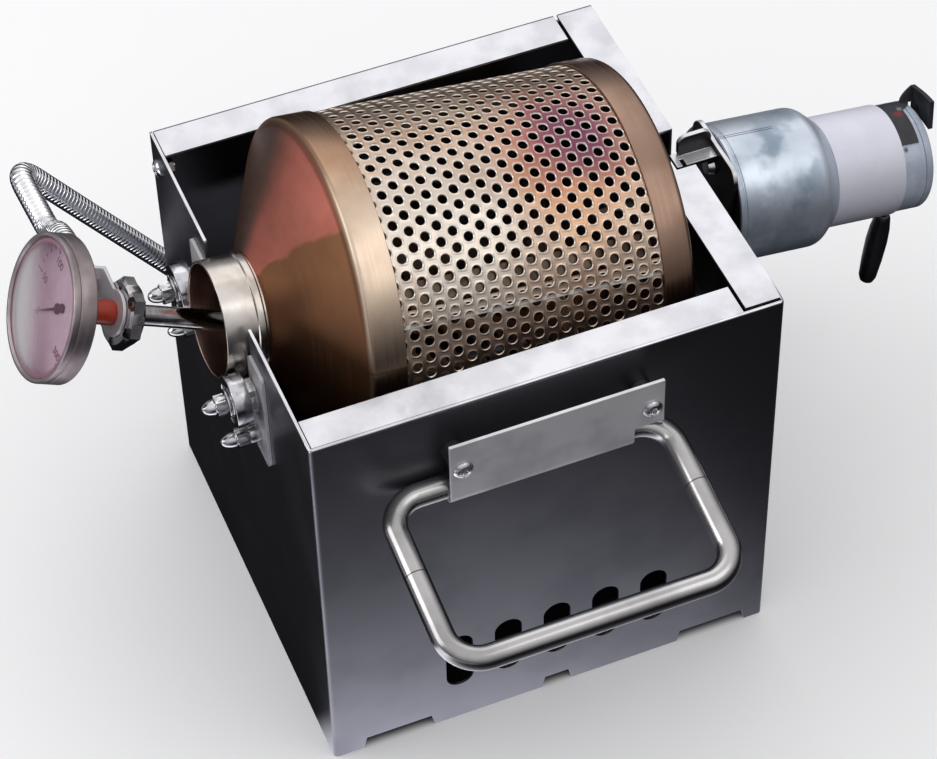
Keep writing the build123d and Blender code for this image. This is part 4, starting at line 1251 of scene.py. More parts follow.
BLACK_TAPE = Paint(
    "black_tape", "black_tape", (30, 31, 36), (44, 45, 52), 0.48, 0.16, 700.0, 0.08, 0.3,
    (Spot(198.2, 3.0, 3.0, 6.5, (120, 24, 38)), Spot(200.4, 10.5, 1.8, 5.0, (120, 118, 122))),
)
BLACK_RUBBER = Paint("black_rubber", "black_rubber", (24, 24, 26), (38, 38, 40), 0.55, 0.14)
BLACK_PLASTIC = Paint("black_plastic", "black_plastic", (18, 18, 20), (30, 30, 33), 0.38, 0.12)
DIAL_STEEL = Metal(
    "dial_steel", "dial_steel", (178, 166, 168), (148, 136, 138), 0.4, 0.16, Grain.ROUND_PROBE
)
DIAL_FACE = Paint("dial_face", "dial_face", (220, 198, 212), (208, 184, 200), 0.5, 0.06, 400.0, 0.01, 0.1)
NEEDLE_BLACK = Paint("needle_black", "needle_black", (30, 18, 22), (44, 28, 32), 0.45, 0.1)
DIAL_GLASS = DialGlass("dial_glass", "dial_glass")
PROBE_STEEL = Metal(
    "probe_steel", "dial_steel", (178, 174, 176), (136, 132, 134), 0.07, 0.06, Grain.ROUND_PROBE, 120.0
)
COVER_ORANGE = Paint(
    "cover_orange", "cover_orange", (168, 52, 32), (132, 38, 26), 0.42, 0.12, 500.0, 0.06, 0.3
)
GOOSE_CHROME = Metal(
    "goose_chrome", "goose_chrome", (250, 250, 252), (234, 235, 239), 0.12, 0.05, Grain.ALONG_Z, 90.0, 0.005
)
NODE_FINISHES = {"drum_vanes": INNER_STEEL, "gear_plate": DARK_PLATE, "plate_spacers": DARK_PLATE}


# Pieces


class Body(str, Enum):
    """Bodies of the frame that pieces ride on."""

    BOX = "box"
    DRUM = "drum"
    FRONT_ROLLER = "front_roller"
    BACK_ROLLER = "back_roller"
    HANDLE = "handle"
    THERMOMETER = "thermometer"
    NEEDLE = "needle"


def publish(
    name: str,
    form: Shell | Mesh,
    finish: Finish,
    body: Body | None,
    *nodes: str,
    sharp: float = 32.0,
    bevel: float = 0.0,
) -> bpy.types.Object:
    """Puts a shell or mesh into the scene as a finished piece.

    Args:
        name: Name of the piece.
        form: Its shell, or its mesh in metres.
        finish: Its finish.
        body: Body that it rides on, or None where it rides on no body.
        nodes: Solids that it stands for.
        sharp: Angle from which an edge stays sharp.
        bevel: Width of the rounding on sharp edges.

    Returns:
        The piece's object.
    """
    mesh = form.mesh(name) if isinstance(form, Shell) else form
    mesh.polygons.foreach_set("use_smooth", np.ones(len(mesh.polygons), bool))
    mesh.set_sharp_from_angle(angle=np.radians(sharp))
    mesh.materials.append(finish.material())
    piece = bpy.data.objects.new(name, mesh)
    bpy.context.scene.collection.objects.link(piece)
    if bevel:
        edge = piece.modifiers.new("edges", "BEVEL")
        edge.width = bevel * MM
        edge.segments = 2
        edge.limit_method = "ANGLE"
        edge.angle_limit = np.radians(sharp)
    if body is not None:
        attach(piece, body.value)
    if nodes:
        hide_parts(*nodes)
    LOG.info("%s: %d faces", name, len(mesh.polygons))
    return piece


def copied(node: str) -> Mesh:
    """Copies a solid's mesh, with its loose triangles merged into whole faces.

    Args:
        node: Name of the solid's node.

    Returns:
        The copy.
    """
    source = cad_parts[node].data
    corners = read(source.loops, "vertex_index", 1, int).reshape(-1, 3)
    mesh = bpy.data.meshes.new(node)
    mesh.from_pydata(read(source.vertices, "co", 3).tolist(), [], corners.tolist())
    return tidy_mesh(mesh, flatten=True)


def reuse(name: str, node: str, finish: Finish, bevel: float, body: Body = Body.BOX) -> None:
    """Publishes a copy of a solid as a piece with rounded edges."""
    publish(name, copied(node), finish, body, node, bevel=bevel)


Turning = tuple[str, Outline, float | Sequence[float], Finish, str, bool]


def lathe(axis: AxisFrame, body: Body, sides: int, rows: Sequence[Turning]) -> None:
    """Publishes pieces that are turned about one axis.

    Args:
        axis: Axis of the turning.
        body: Body that the pieces ride on.
        sides: Number of steps in a turn.
        rows: Name, outline, radii of its corners, finish, solid, and whether the outline is a ring.
    """
    for name, outline, radius, finish, node, closed in rows:
        profile = rounded(outline, radius, closed=closed)
        publish(name, Shell().turned(axis, profile, sides, closed), finish, body, node)


@dataclass(frozen=True)
class PanScrew:
    """Pan-head screw with a cross recess."""

    shank: float = 2.0
    head: float = 4.2
    height: float = 2.4
    crown: float = 0.75
    tip: float = 0.12
    rings: int = 16
    sides: int = 48
    arm: float = 2.3
    slot: float = 0.55
    recess: float = 0.9
    slope: float = 0.3

    def build(self, shell: Shell, seat: AxisFrame, length: float) -> None:
        """Adds a screw whose head stands on a seat.

        The head's height is height * (1 - crown * (r/head)^3), less the recess where one of x and
        y is within the arm's length and the other within its half width.

        Args:
            shell: Shell that takes the screw.
            seat: Axis that leaves the seat outwards.
            length: Length of the shank behind the seat.
        """
        turn = np.arange(self.sides) * 360 / self.sides
        r, a = np.meshgrid(np.linspace(self.tip, self.head, self.rings), np.radians(turn))
        x, y = np.abs(r * np.cos(a)), np.abs(r * np.sin(a))
        cross = smoothstep(self.arm + self.slope, self.arm, np.maximum(x, y))
        cross = cross * smoothstep(self.slot + self.slope, self.slot, np.minimum(x, y))
        top = self.height * (1 - self.crown * (r / self.head) ** 3) - self.recess * cross
        dome = seat.place(r, turn[:, None], top)
        shell.grid(dome, around=True)
        shell.fan(dome[:, 0])
        rim = self.height * (1 - self.crown)
        stem = np.array([(self.head, rim), (self.head, 0), (self.shank, 0), (self.shank, -length)])
        below = seat.place(stem[None, :, 0], turn[:, None], stem[None, :, 1])
        shell.grid(below, around=True)
        shell.fan(below[:, -1])


def fasten(name: str, node: str, seats: Sequence[AxisFrame], length: float, body: Body = Body.BOX) -> None:
    """Publishes pan-head screws as one piece.

    Args:
        name: Name of the piece.
        node: Solid that it stands for.
        seats: Axes that leave the screws' seats outwards.
        length: Length of the shanks.
        body: Body that the screws ride on.
    """
    shell = Shell()
    for seat in seats:
        PanScrew().build(shell, seat, length)
    publish(name, shell, FASTENER_STEEL, body, node)


NUT_SIDES = 60
NUT_FACE = 0.48
CAP_DOME = 0.41
CAP_NECK = 0.2
CAP_CHAMFER = 0.6
NUT_CHAMFER = 0.55


def cap_nut(shell: Shell, seat: AxisFrame, flats: float, hexagon: float, height: float) -> None:
    """Adds a cap nut: a chamfered hexagon under a round dome.

    Args:
        shell: Shell that takes the nut.
        seat: Axis that leaves the seat outwards.
        flats: Distance across the flats.
        hexagon: Height of the hexagon.
        height: Height over all.
    """
    corner = flats / np.sqrt(3)
    drop = (corner - flats / 2) * CAP_CHAMFER
    neck = hexagon + CAP_NECK
    bend = np.radians(np.linspace(0, 87, 9))
    base = [(0.5, 0), (flats / 2, 0), (corner, drop), (corner, hexagon - drop), (flats * NUT_FACE, hexagon)]
    dome = np.stack([flats * CAP_DOME * np.cos(bend), neck + (height - neck) * np.sin(bend)], axis=1)
    shell.turned(seat, np.concatenate([base, dome]), NUT_SIDES, False, flats)


def hex_nut(shell: Shell, seat: AxisFrame, flats: float, height: float, bore: float) -> None:
    """Adds a hexagon nut with chamfered corners.

    Args:
        shell: Shell that takes the nut.
        seat: Axis that leaves the seat outwards.
        flats: Distance across the flats.
        height: Height of the nut.
        bore: Radius of its hole.
    """
    corner = flats / np.sqrt(3)
    face = flats * NUT_FACE
    drop = (corner - flats / 2) * NUT_CHAMFER
    low = [(bore, 0), (face, 0), (corner, drop)]
    outline = low + [(radius, height - station) for radius, station in reversed(low)]
    shell.turned(seat, np.array(outline), NUT_SIDES, flats=flats)


@dataclass(frozen=True)
class SheetBox:
    """The open box of bent sheet, with the screws that hold its back panel."""

    half_width: float = 100.0
    half_depth: float = 95.5
    height: float = 198.0
    corner: float = 2.0
    bend: float = 1.1
    screw_y: float = 86.7
    screw_height: float = 185.0
    screw_length: float = 6.7
    seat_gap: float = 0.1
    edge: float = 0.45

    def fold(self, mesh: Mesh) -> Mesh:
        """Rounds the outer edge of the bend between the front and its flange.

        An edge is on the bend where both its ends are at the top and as far from the line through
        the centres of the front corners as the corners' radius.

        Args:
            mesh: The wrap's mesh, which is changed.

        Returns:
            The same mesh.
        """
        x, y, z = read(mesh.vertices, "co", 3).T / MM
        aside = np.clip(np.abs(x) - self.half_width + self.corner, 0, None)
        ahead = self.corner - self.half_depth - y
        far = np.abs(np.hypot(aside, ahead) - self.corner)
        bent = (z > self.height - 0.01) & (ahead > -0.01) & (far < 0.02)
        on_bend = bent[read(mesh.edges, "vertices", 2, int)].all(axis=1)
        work = bmesh.new()
        work.from_mesh(mesh)
        work.edges.ensure_lookup_table()
        edges = [work.edges[index] for index in np.flatnonzero(on_bend)]
        bmesh.ops.bevel(work, geom=edges, offset=self.bend * MM, segments=4, profile=0.5, affect="EDGES")
        work.to_mesh(mesh)
        work.free()
        return mesh

    def build(self) -> None:
        """Makes the two panels and their screws."""
        wrap = self.fold(copied("body_wrap"))
        publish("box_wrap", wrap, BOX_STEEL, Body.BOX, "body_wrap", bevel=self.edge)
        reuse("box_back", "back_panel", BOX_STEEL, self.edge)
        reach = self.half_width + self.seat_gap
        seats = [AxisFrame((way[0] * reach, self.screw_y, self.screw_height), way) for way in (LEFT, RIGHT)]
        fasten("box_screws", "panel_screws", seats, self.screw_length)


@dataclass(frozen=True)
class FoldingHandle:
    """Rod handle that hangs from its plate and folds up against the front."""

    middle: Point = (-13.7, -100.8, 159.5)
    length: float = 118.4
    reach: float = 75.1
    corner: float = 14.0
    rod: float = 5.0
    sides: int = 32
    droop: float = 10.4
    screw_x: Span = (-42.3, 37.7)
    screw_z: float = 174.5
    plate_face: float = -107.6
    plate_edge: float = 0.3
    screw_length: float = 17.4

    def build(self) -> None:
        """Makes the rod, the plate that holds it and the plate's screws.

        The rod's path is a rounded rectangle in a plane that falls away from the box.
        """
        slope = np.radians(self.droop)
        out = np.array([0.0, -np.cos(slope), -np.sin(slope)])
        line = rounded(bar(-self.length / 2, self.length / 2, 0, self.reach), self.corner, steps=14)
        path = np.array(self.middle) + line[:, :1] * np.array(RIGHT) + line[:, 1:] * out
        radius = np.full((len(path), self.sides), self.rod)
        rod = Shell().tube(path, radius, tuple(np.cross(RIGHT, out)), closed=True)
        publish("handle_rod", rod, HANDLE_STEEL, Body.HANDLE, "handle", sharp=60.0)
        reuse("handle_plate_face", "handle_plate", PLATE_STEEL, self.plate_edge)
        seats = [AxisFrame((x, self.plate_face, self.screw_z), FRONT) for x in self.screw_x]
        fasten("plate_fixings", "plate_screws", seats, self.screw_length)


@dataclass(frozen=True)
class MouthRollers:
    """Straps beside the mouth, with the ball bearings that carry the neck and their nuts."""

    wall_x: float = -100.0
    roller_y: float = 33.448
    roller_z: float = 167.951
    roller_seat: float = 5.7
    roller_width: float = 7.0
    roller_radius: float = 11.0
    shield: Span = (6.0, 9.0)
    shield_depth: float = 0.45
    bore: float = 4.0
    nut_seat: float = 1.6
    nut_flats: float = 13.0
    nut_height: float = 3.9
    washer_seat: float = 12.9
    washer_radius: float = 6.0
    washer: float = 1.0
    thread: float = 2.5
    cap_seat: float = 14.0
    cap_flats: float = 8.0
    cap_hexagon: float = 4.8
    cap_height: float = 10.3
    strap_edge: float = 0.25
    strap_y: float = 33.05
    strap_z: float = 145.0
    strap_flats: float = 8.0
    strap_collar: float = 4.4
    strap_hexagon: float = 5.6
    strap_height: float = 16.4

    def seat(self, y: float, z: float, out: float) -> AxisFrame:
        """Returns an axis that leaves the left wall at a point, starting some way out."""
        return AxisFrame((self.wall_x - out, y, z), LEFT)

    def bearing(self, name: str, y: float, body: Body, node: str) -> None:
        """Makes a ball bearing: two rings with a sunk shield between them.

        Args:
            name: Name of the piece.
            y: Place across the box.
            body: Body of the roller.
            node: Solid that it stands for.
        """
        (near, far), sunk = self.shield, self.shield_depth
        face = [(self.bore, 0), (near, 0), (near + 0.1, sunk), (far, sunk), (far + 0.1, 0)]
        face += [(self.roller_radius, 0)]
        back = [(radius, self.roller_width - station) for radius, station in reversed(face)]
        seat = self.seat(y, self.roller_z, self.roller_seat)
        publish(name, Shell().turned(seat, rounded(face + back, 0.35, 3), 72), BEARING_STEEL, body, node)

    def build(self) -> None:
        """Makes the straps, bearings, nuts, washers and cap nuts."""
        reuse("mouth_straps", "roller_straps", PLATE_STEEL, self.strap_edge)
        self.bearing("front_bearing", -self.roller_y, Body.FRONT_ROLLER, "front_roller")
        self.bearing("back_bearing", self.roller_y, Body.BACK_ROLLER, "back_roller")
        nuts, washers, caps, small = (Shell() for _ in range(4))
        ring = rounded(bar(self.thread, self.washer_radius, 0, self.washer), 0.2, 3)
        collar = rounded(bar(0.5, self.strap_flats / 2, 0, self.strap_collar), 0.4, 4, closed=False)
        for side in (-1, 1):
            nut, washer, cap = (
                self.seat(side * self.roller_y, self.roller_z, out)
                for out in (self.nut_seat, self.washer_seat, self.cap_seat)
            )
            hex_nut(nuts, nut, self.nut_flats, self.nut_height, self.bore)
            washers.turned(washer, ring, 48)
            cap_nut(caps, cap, self.cap_flats, self.cap_hexagon, self.cap_height)
            strap = self.seat(side * self.strap_y, self.strap_z, self.nut_seat)
            small.turned(strap, collar, 48, closed=False)
            upper = strap.moved(0.0, 0.0, self.strap_collar)
            cap_nut(small, upper, self.strap_flats, self.strap_hexagon, self.strap_height - self.strap_collar)
        publish("bearing_nuts", nuts, FASTENER_STEEL, Body.BOX, "roller_nuts")
        publish("bearing_washers", washers, FASTENER_STEEL, Body.BOX, "roller_washers")
        publish("bearing_caps", caps, FASTENER_STEEL, Body.BOX, "roller_caps")
        publish("strap_cap_nuts", small, FASTENER_STEEL, Body.BOX, "strap_caps")


@dataclass(frozen=True)
class PerforatedWall:
    """Wall of the drum: a holed sheet rolled up, its start lapping over its end at a seam."""

    radius: float = 73.9
    wall: float = 0.8
    around: float = 68.5
    cells: int = 69
    rings: int = 21
    ring_pitch: float = 5.765
    middle: float = 3.04
    hole: float = 1.95
    burr: float = 0.3
    seam: float = -58.7
    lift: float = 0.46
    steps: int = 16

    @property
    def pitch(self) -> float:
        """Distance between the holes of a row."""
        return 2 * np.pi * self.radius / self.around

    def cell(self, steps: Array) -> Array:
        """Loops of one cell: border, rim of the hole, its two edges and the inner border.

        The border is a square, four steps to a side. Across, it is the clipped triangle wave
        4|k/8 mod 2 - 1| - 2 of the step k, halved, and along the same wave a quarter turn later.

        Args:
            steps: Numbers of the steps that the cell has, all 16 or half of them.

        Returns:
            Loops by steps by (across, along) in millimetres.
        """
        wave = [np.clip(4 * np.abs((steps - lag) / 8 % 2 - 1) - 2, -1, 1) / 2 for lag in (0, 4)]
        border = np.stack(wave, axis=-1) * np.array([self.pitch, self.ring_pitch])
        turn = steps * 2 * np.pi / self.steps
        circle = np.stack([np.cos(turn), np.sin(turn)], axis=-1)
        edge = circle * self.hole
        return np.stack([border, circle * (self.hole + self.burr), edge, edge, border])

    def place(self, centres: Array, loops: Array) -> Array:
        """Rolls cells up about the drum.

        A point at distance s along the sheet stands at the seam's angle + s / radius, and the
        sheet stands out by the lift near its start and in by it near its end.

        Args:
            centres: Place of each cell along the sheet, in pitches, and its station.
            loops: Loops of a cell.

        Returns:
            Cells by loops by steps by 3.
        """
        depths = np.array([0.0, 0.0, self.burr, self.wall, self.wall])
        run = centres[:, 0, None, None] * self.pitch + loops[None, ..., 0]
        station = centres[:, 1, None, None] + loops[None, ..., 1]
        share = run / self.pitch
        raised = self.lift * (1 - smoothstep(1.5, 6.0, share))
        sunk = self.lift * smoothstep(self.around - 6.0, self.around - 0.5, share)
        radius = self.radius + raised - sunk - depths[None, :, None]
        return DRUM.place(radius, self.seam + np.degrees(run / self.radius), station)

    def add_cells(self, shell: Shell, centres: Array, steps: Array, ends: Sequence[Sequence[int]]) -> None:
        """Adds cells, whole or halved, with faces on the cut edges that are named.

        Args:
            shell: Shell that takes the cells.
            centres: Place of each cell.
            steps: Steps of the border that they have.
            ends: Runs of step positions along which outer and inner border are joined.
        """
        points = self.place(centres, self.cell(steps))
        index = np.arange(points[..., 0].size).reshape(points.shape[:3])
        cuts = [index[:, :, 0], index[:, :, -1]]
        if len(steps) == self.steps:
            index = np.concatenate([index, index[:, :, :1]], axis=2)
            cuts = []
        corners = (index[:, :-1, :-1], index[:, :-1, 1:], index[:, 1:, 1:], index[:, 1:, :-1])
        start = shell.count
        shell.add(points, np.stack(corners, axis=-1).reshape(-1, 4))
        edge = np.array([0.0, 1.0, 1.0, 1.0, 0.0])[None, :, None]
        shell.rims.append(np.broadcast_to(edge, points.shape[:3]).ravel())
        for run in ends:
            first, second = index[:, :, list(run[:-1])], index[:, :, list(run[1:])]
            rim = np.stack([first[:, 0], second[:, 0], second[:, -1], first[:, -1]], axis=-1)
            shell.faces += (rim.reshape(-1, 4) + start).tolist()
        for cut in cuts:
            shell.faces += (cut + start).tolist()

    def build(self) -> None:
        """Makes the wall from rows of cells, every second row half a pitch on.

        A row has one half cell: at the sheet's start in odd rows and at its end in the others.
        """
        whole = np.arange(self.steps)
        station = self.middle + (np.arange(self.rings) - (self.rings - 1) / 2) * self.ring_pitch
        left, right = tuple(range(6, 11)), (14, 15, 0, 1, 2)
        low, high = tuple(range(10, 15)), tuple(range(2, 7))
        shell = Shell()
        for ring, level in enumerate(station):
            rims = ((low,) if ring == 0 else ()) + ((high,) if ring == self.rings - 1 else ())
            odd = ring % 2
            runs = np.arange(self.cells) + (1.0 if odd else 0.5)
            middle, end = (runs[:-1], runs[-1:]) if odd else (runs[1:], runs[:1])
            rest, half = ([0.0], np.arange(12, 21)) if odd else ([self.cells + 0.5], np.arange(4, 13))
            shut = tuple(tuple(step - 4 for step in run if 4 <= step <= 12) for run in rims)
            for group, steps, ends in (
                (middle, whole, rims),
                (end, whole, (right if odd else left, *rims)),
                (rest, half, shut),
            ):
                centres = np.stack([group, np.full(len(group), level)], axis=1)
                self.add_cells(shell, centres, steps, ends)
        publish("drum_wall", shell, DRUM_TINT, Body.DRUM, "drum_screen", sharp=30.0)


@dataclass(frozen=True)
class DrumEnds:
    """Spun ends of the drum, its neck, hub and shaft."""

    radius: float = 75.0
    wall: float = 1.0
    neck: float = 24.4
    neck_wall: float = 1.2
    mouth: float = -109.8
    neck_end: float = -88.0
    bead: float = 0.8
    bead_span: Span = (-95.9, -93.3)
    bead_slope: float = 0.5
    cone_root: float = -92.0
    cone_edge: float = -67.5
    front_end: float = -53.5
    rear_start: float = 57.5
    rear_end: float = 71.5
    bore: float = 4.3
    hub: float = 8.0
    flange: float = 20.0
    hub_start: float = 71.6
    flange_end: float = 74.6
    hub_end: float = 98.6
    shaft: float = 4.0
    hub_fit: float = 0.05
    shaft_start: float = 80.0
    shaft_end: float = 115.4
    screw_circle: float = 14.0
    screw_length: float = 8.0
    seat_gap: float = 0.1

    def build(self) -> None:
        """Turns each end's profile about the drum's axis, and sets the hub's screws."""
        inner = self.radius - self.wall
        bore, bead = self.neck - self.neck_wall, self.neck + self.bead
        root = self.neck + self.seat_gap
        near, far = self.bead_span
        neck = [
            (bore, self.mouth), (self.neck, self.mouth), (self.neck, near - self.bead_slope),
            (bead, near), (bead, far), (self.neck, far + self.bead_slope),
            (self.neck, self.neck_end), (bore, self.neck_end),
        ]
        cone = [
            (root, self.cone_root), (self.radius, self.cone_edge), (self.radius, self.front_end),
            (inner, self.front_end), (inner, self.cone_edge + 0.6), (root, self.cone_root + 1.1),
        ]
        plate = self.rear_end - self.wall
        rear = stepped(self.bore, self.radius, self.rear_end, self.rear_start, inner, plate)
        fit = self.shaft + self.hub_fit
        hub = stepped(fit, self.flange, self.hub_start, self.flange_end, self.hub, self.hub_end)
        shaft = bar(0.5, self.shaft, self.shaft_start, self.shaft_end)
        lathe(DRUM, Body.DRUM, 160, (
            ("neck_ring", neck, 0.4, NECK_STEEL, "drum_neck", True),
            ("front_cone", cone, (0.3, 2.2, 0.3, 0.2, 1.2, 0.2), END_TINT, "drum_front", True),
            ("rear_end", rear, (0.2, 2.4, 0.3, 0.2, 1.4, 0.2), END_TINT, "drum_rear", True),
            ("hub_flange", hub, 0.4, INNER_STEEL, "drum_hub", True),
            ("drive_shaft", shaft, 0.0, INNER_STEEL, "output_shaft", False),
        ))
        face = self.flange_end + self.seat_gap
        seats = [DRUM.moved(self.screw_circle, angle, face) for angle in (90, 180, 270, 360)]
        fasten("hub_fixings", "hub_screws", seats, self.screw_length, Body.DRUM)


@dataclass(frozen=True)
class GearMotor:
    """Gear motor on its bracket, with its tape, boot and hanging lead."""

    gear: float = 30.0
    gear_front: float = 112.4
    gear_back: float = 153.9
    cover_end: float = 161.2
    lip: float = 1.6
    groove: float = 0.45
    plate_face: float = 115.6
    can: float = 23.2
    can_start: float = 161.3
    can_end: float = 203.6
    sleeve: float = 23.9
    sleeve_end: float = 193.3
    cap_start: float = 203.7
    cap_end: float = 207.3
    cap_well: Span = (8.0, 0.8)
    bracket_edge: float = 0.3
    tape: float = 23.3
    tape_wall: float = 0.5
    tape_start: float = 193.4
    tape_end: float = 201.4
    tape_angles: Span = (-35.0, 30.0)
    fold_end: float = 206.9
    flag_start: float = 209.6
    flag_end: float = 212.2
    flag_bow: float = 0.5
    flag_front: Span = (-3.4, 31.2)
    flag_apex: Span = (13.0, 27.4)
    flag_foot: Span = (-6.8, 19.0)
    tab_edge: float = 2.4
    gusset_start: float = 203.6
    gusset_wall: float = 1.1
    lead: float = 4.0
    lead_length: float = 0.0845
    lead_points: tuple[Point, ...] = (
        (213.02, 7.9, 174.06),
        (212.1, 5.2, 166.7),
        (212.4, 8.5, 154.0),
        (213.2, 16.0, 140.0),
        (214.6, 22.0, 124.0),
        (213.9, 22.8, 106.2),
        (211.8, 22.1, 94.4),
    )
    socket: float = 4.6
    socket_end: float = 38.0
    socket_relief: float = 8.0
    socket_well: Span = (2.75, 9.0)

    def build_lead(self) -> None:
        """Makes the lead as a curve on its route, and the socket on its end."""
        points = np.array(self.lead_points)
        along = unit(points[-1] - points[-2])
        axis = AxisFrame(tuple(points[-1]), tuple(along), tuple(unit(np.cross(along, BACK))))
        wide, end = self.socket, self.socket_end
        well, floor = self.socket_well[0], end - self.socket_well[1]
        outline = [
            (1.0, 0.1), (wide * 0.66, 0.1), (wide * 0.8, 2.0), (wide, self.socket_relief),
            (wide * 1.08, end * 0.4), (wide * 1.02, end - 12.0), (wide * 0.88, end - 2.5), (wide * 0.68, end),
            (well, end), (well, floor), (1.0, floor), (1.0, end - 0.3), (0.3, end - 0.1),
        ]
        form = Shell().turned(axis, rounded(outline, 1.2, 4, closed=False), 48, closed=False)
        socket = publish("lead_end_socket", form, BLACK_PLASTIC, Body.BOX, "lead_socket")
        curve = nurbs_curve("lead_cord", self.lead_points)
        curve.bevel_depth = self.lead / 2 * MM
        curve.bevel_resolution = 4
        curve.use_fill_caps = True
        curve.materials.append(BLACK_RUBBER.material())
        lead = bpy.data.objects.new("lead_cord", curve)
        bpy.context.scene.collection.objects.link(lead)
        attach(lead, Body.BOX.value)
        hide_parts("motor_lead")
        LOG.info("lead_cord: %d points", len(points))

    def build_tape(self) -> None:
        """Makes the tape's patch on the can, with a shallow ripple and its end drawn out on top.

        The patch lies at the tape's radius + 0.08 * sin(9 angle) * cos(0.9 station), and its far
        edge moves from its end to the fold's with a smooth step of the angle.
        """
        turn = np.linspace(*self.tape_angles, 40)[:, None]
        far = self.tape_end + (self.fold_end - self.tape_end) * smoothstep(6.0, 20.0, turn)
        station = self.tape_start + (far - self.tape_start) * np.linspace(0, 1, 14)[None, :]
        ripple = 0.08 * np.sin(np.radians(turn * 9)) * np.cos(station * 0.9)
        outer = MOTOR.place(self.tape + self.tape_wall + ripple, turn, station)
        patch = Shell().slab(outer, MOTOR.place(self.tape, turn, station))
        publish("tape_patch", patch, BLACK_TAPE, Body.BOX, "motor_tape", sharp=50.0)

    def on_end(self, across: Array, rise: Array, station: Array) -> Array:
        """Points beside the motor's axis: across to the back, up from the axis, and along it."""
        return MOTOR.place(np.hypot(across, rise), np.degrees(np.arctan2(across, rise)), station)

    def build_flag(self) -> None:
        """Makes the flag of tape that stands up behind the can's end.

        Its plate lies between a top edge, straight from front to apex, and a foot that follows
        the can's radius, with a tab lower down at the front. It bows by the sine of its width. A
        gusset rises from the fold on the can to the apex, with the square root of its length.
        """
        share = np.linspace(0, 1, 33)[:, None]
        rise = np.linspace(0, 1, 9)[None, :]
        (front, top), (back, apex), (foot, low) = self.flag_front, self.flag_apex, self.flag_foot
        across = front + (back - front) * share + (foot - front) * (1 - share) ** 6 * (1 - rise)
        tab = smoothstep(self.tab_edge + 0.6, self.tab_edge - 0.6, across)
        rim = np.sqrt(self.tape**2 - across**2)
        base = rim + (low - rim) * tab
        height = base + (top + (apex - top) * share - base) * rise
        bow = self.flag_bow * np.sin(np.pi * share) * rise
        outer = self.on_end(across, height, self.flag_end + bow - self.flag_bow)
        flag = Shell().slab(outer, self.on_end(across, height, self.flag_start + bow))
        along = np.linspace(0, 1, 17)[:, None]
        station = self.gusset_start + (self.flag_start - self.gusset_start) * along * np.ones_like(rise)
        reach = np.hypot(back, apex) - 0.2
        radius = self.tape + 0.1 + (reach - self.tape) * np.sqrt(along) * rise
        lean = np.degrees(np.arctan2(back, apex))
        wall = np.degrees(self.gusset_wall / radius)
        flag.slab(MOTOR.place(radius, lean - wall, station), MOTOR.place(radius, lean, station))
        publish("tape_flag", flag, BLACK_TAPE, Body.BOX, "lead_boot", sharp=40.0)

    def build(self) -> None:
        """Turns the motor's housings, then makes its bracket and tape."""
        lip, wide, start = self.gear - self.lip, self.gear, self.gear_front
        sunk = wide - self.groove
        cover = [
            (1.0, self.plate_face), (lip, self.plate_face), (lip, start), (wide, start), (wide, start + 2.0),
            (sunk, start + 2.3), (sunk, start + 2.8), (wide, start + 3.1), (wide, self.gear_back),
            (self.sleeve, self.cover_end), (1.0, self.cover_end),
        ]
        radii = (0.0, 0.2, 0.3, 0.4, 0.3, 0.1, 0.1, 0.3, 7.0, 1.5, 0.0)
        sleeve = bar(self.can + 0.05, self.sleeve, self.can_start, self.sleeve_end)
        can = bar(1.0, self.can, self.can_start, self.can_end)
        well, depth = self.cap_well
        cap = stepped(1.0, self.can, self.cap_start, self.cap_end, well, self.cap_end - depth)
        lathe(MOTOR, Body.BOX, 144, (
            ("gear_housing", cover, radii, ZINC_PLATE, "gear_cover", False),
            ("can_sleeve", sleeve, 0.2, MOTOR_GREY, "motor_sleeve", True),
            ("can_shell", can, 0.6, CAN_GREY, "motor_can", False),
            ("can_cap", cap, (0.0, 0.3, 1.4, 0.3, 0.2, 0.0), CAP_GREY, "motor_cap", False),
        ))
        reuse("drive_bracket", "motor_bracket", BRACKET_STEEL, self.bracket_edge)
        self.build_tape()
        self.build_flag()


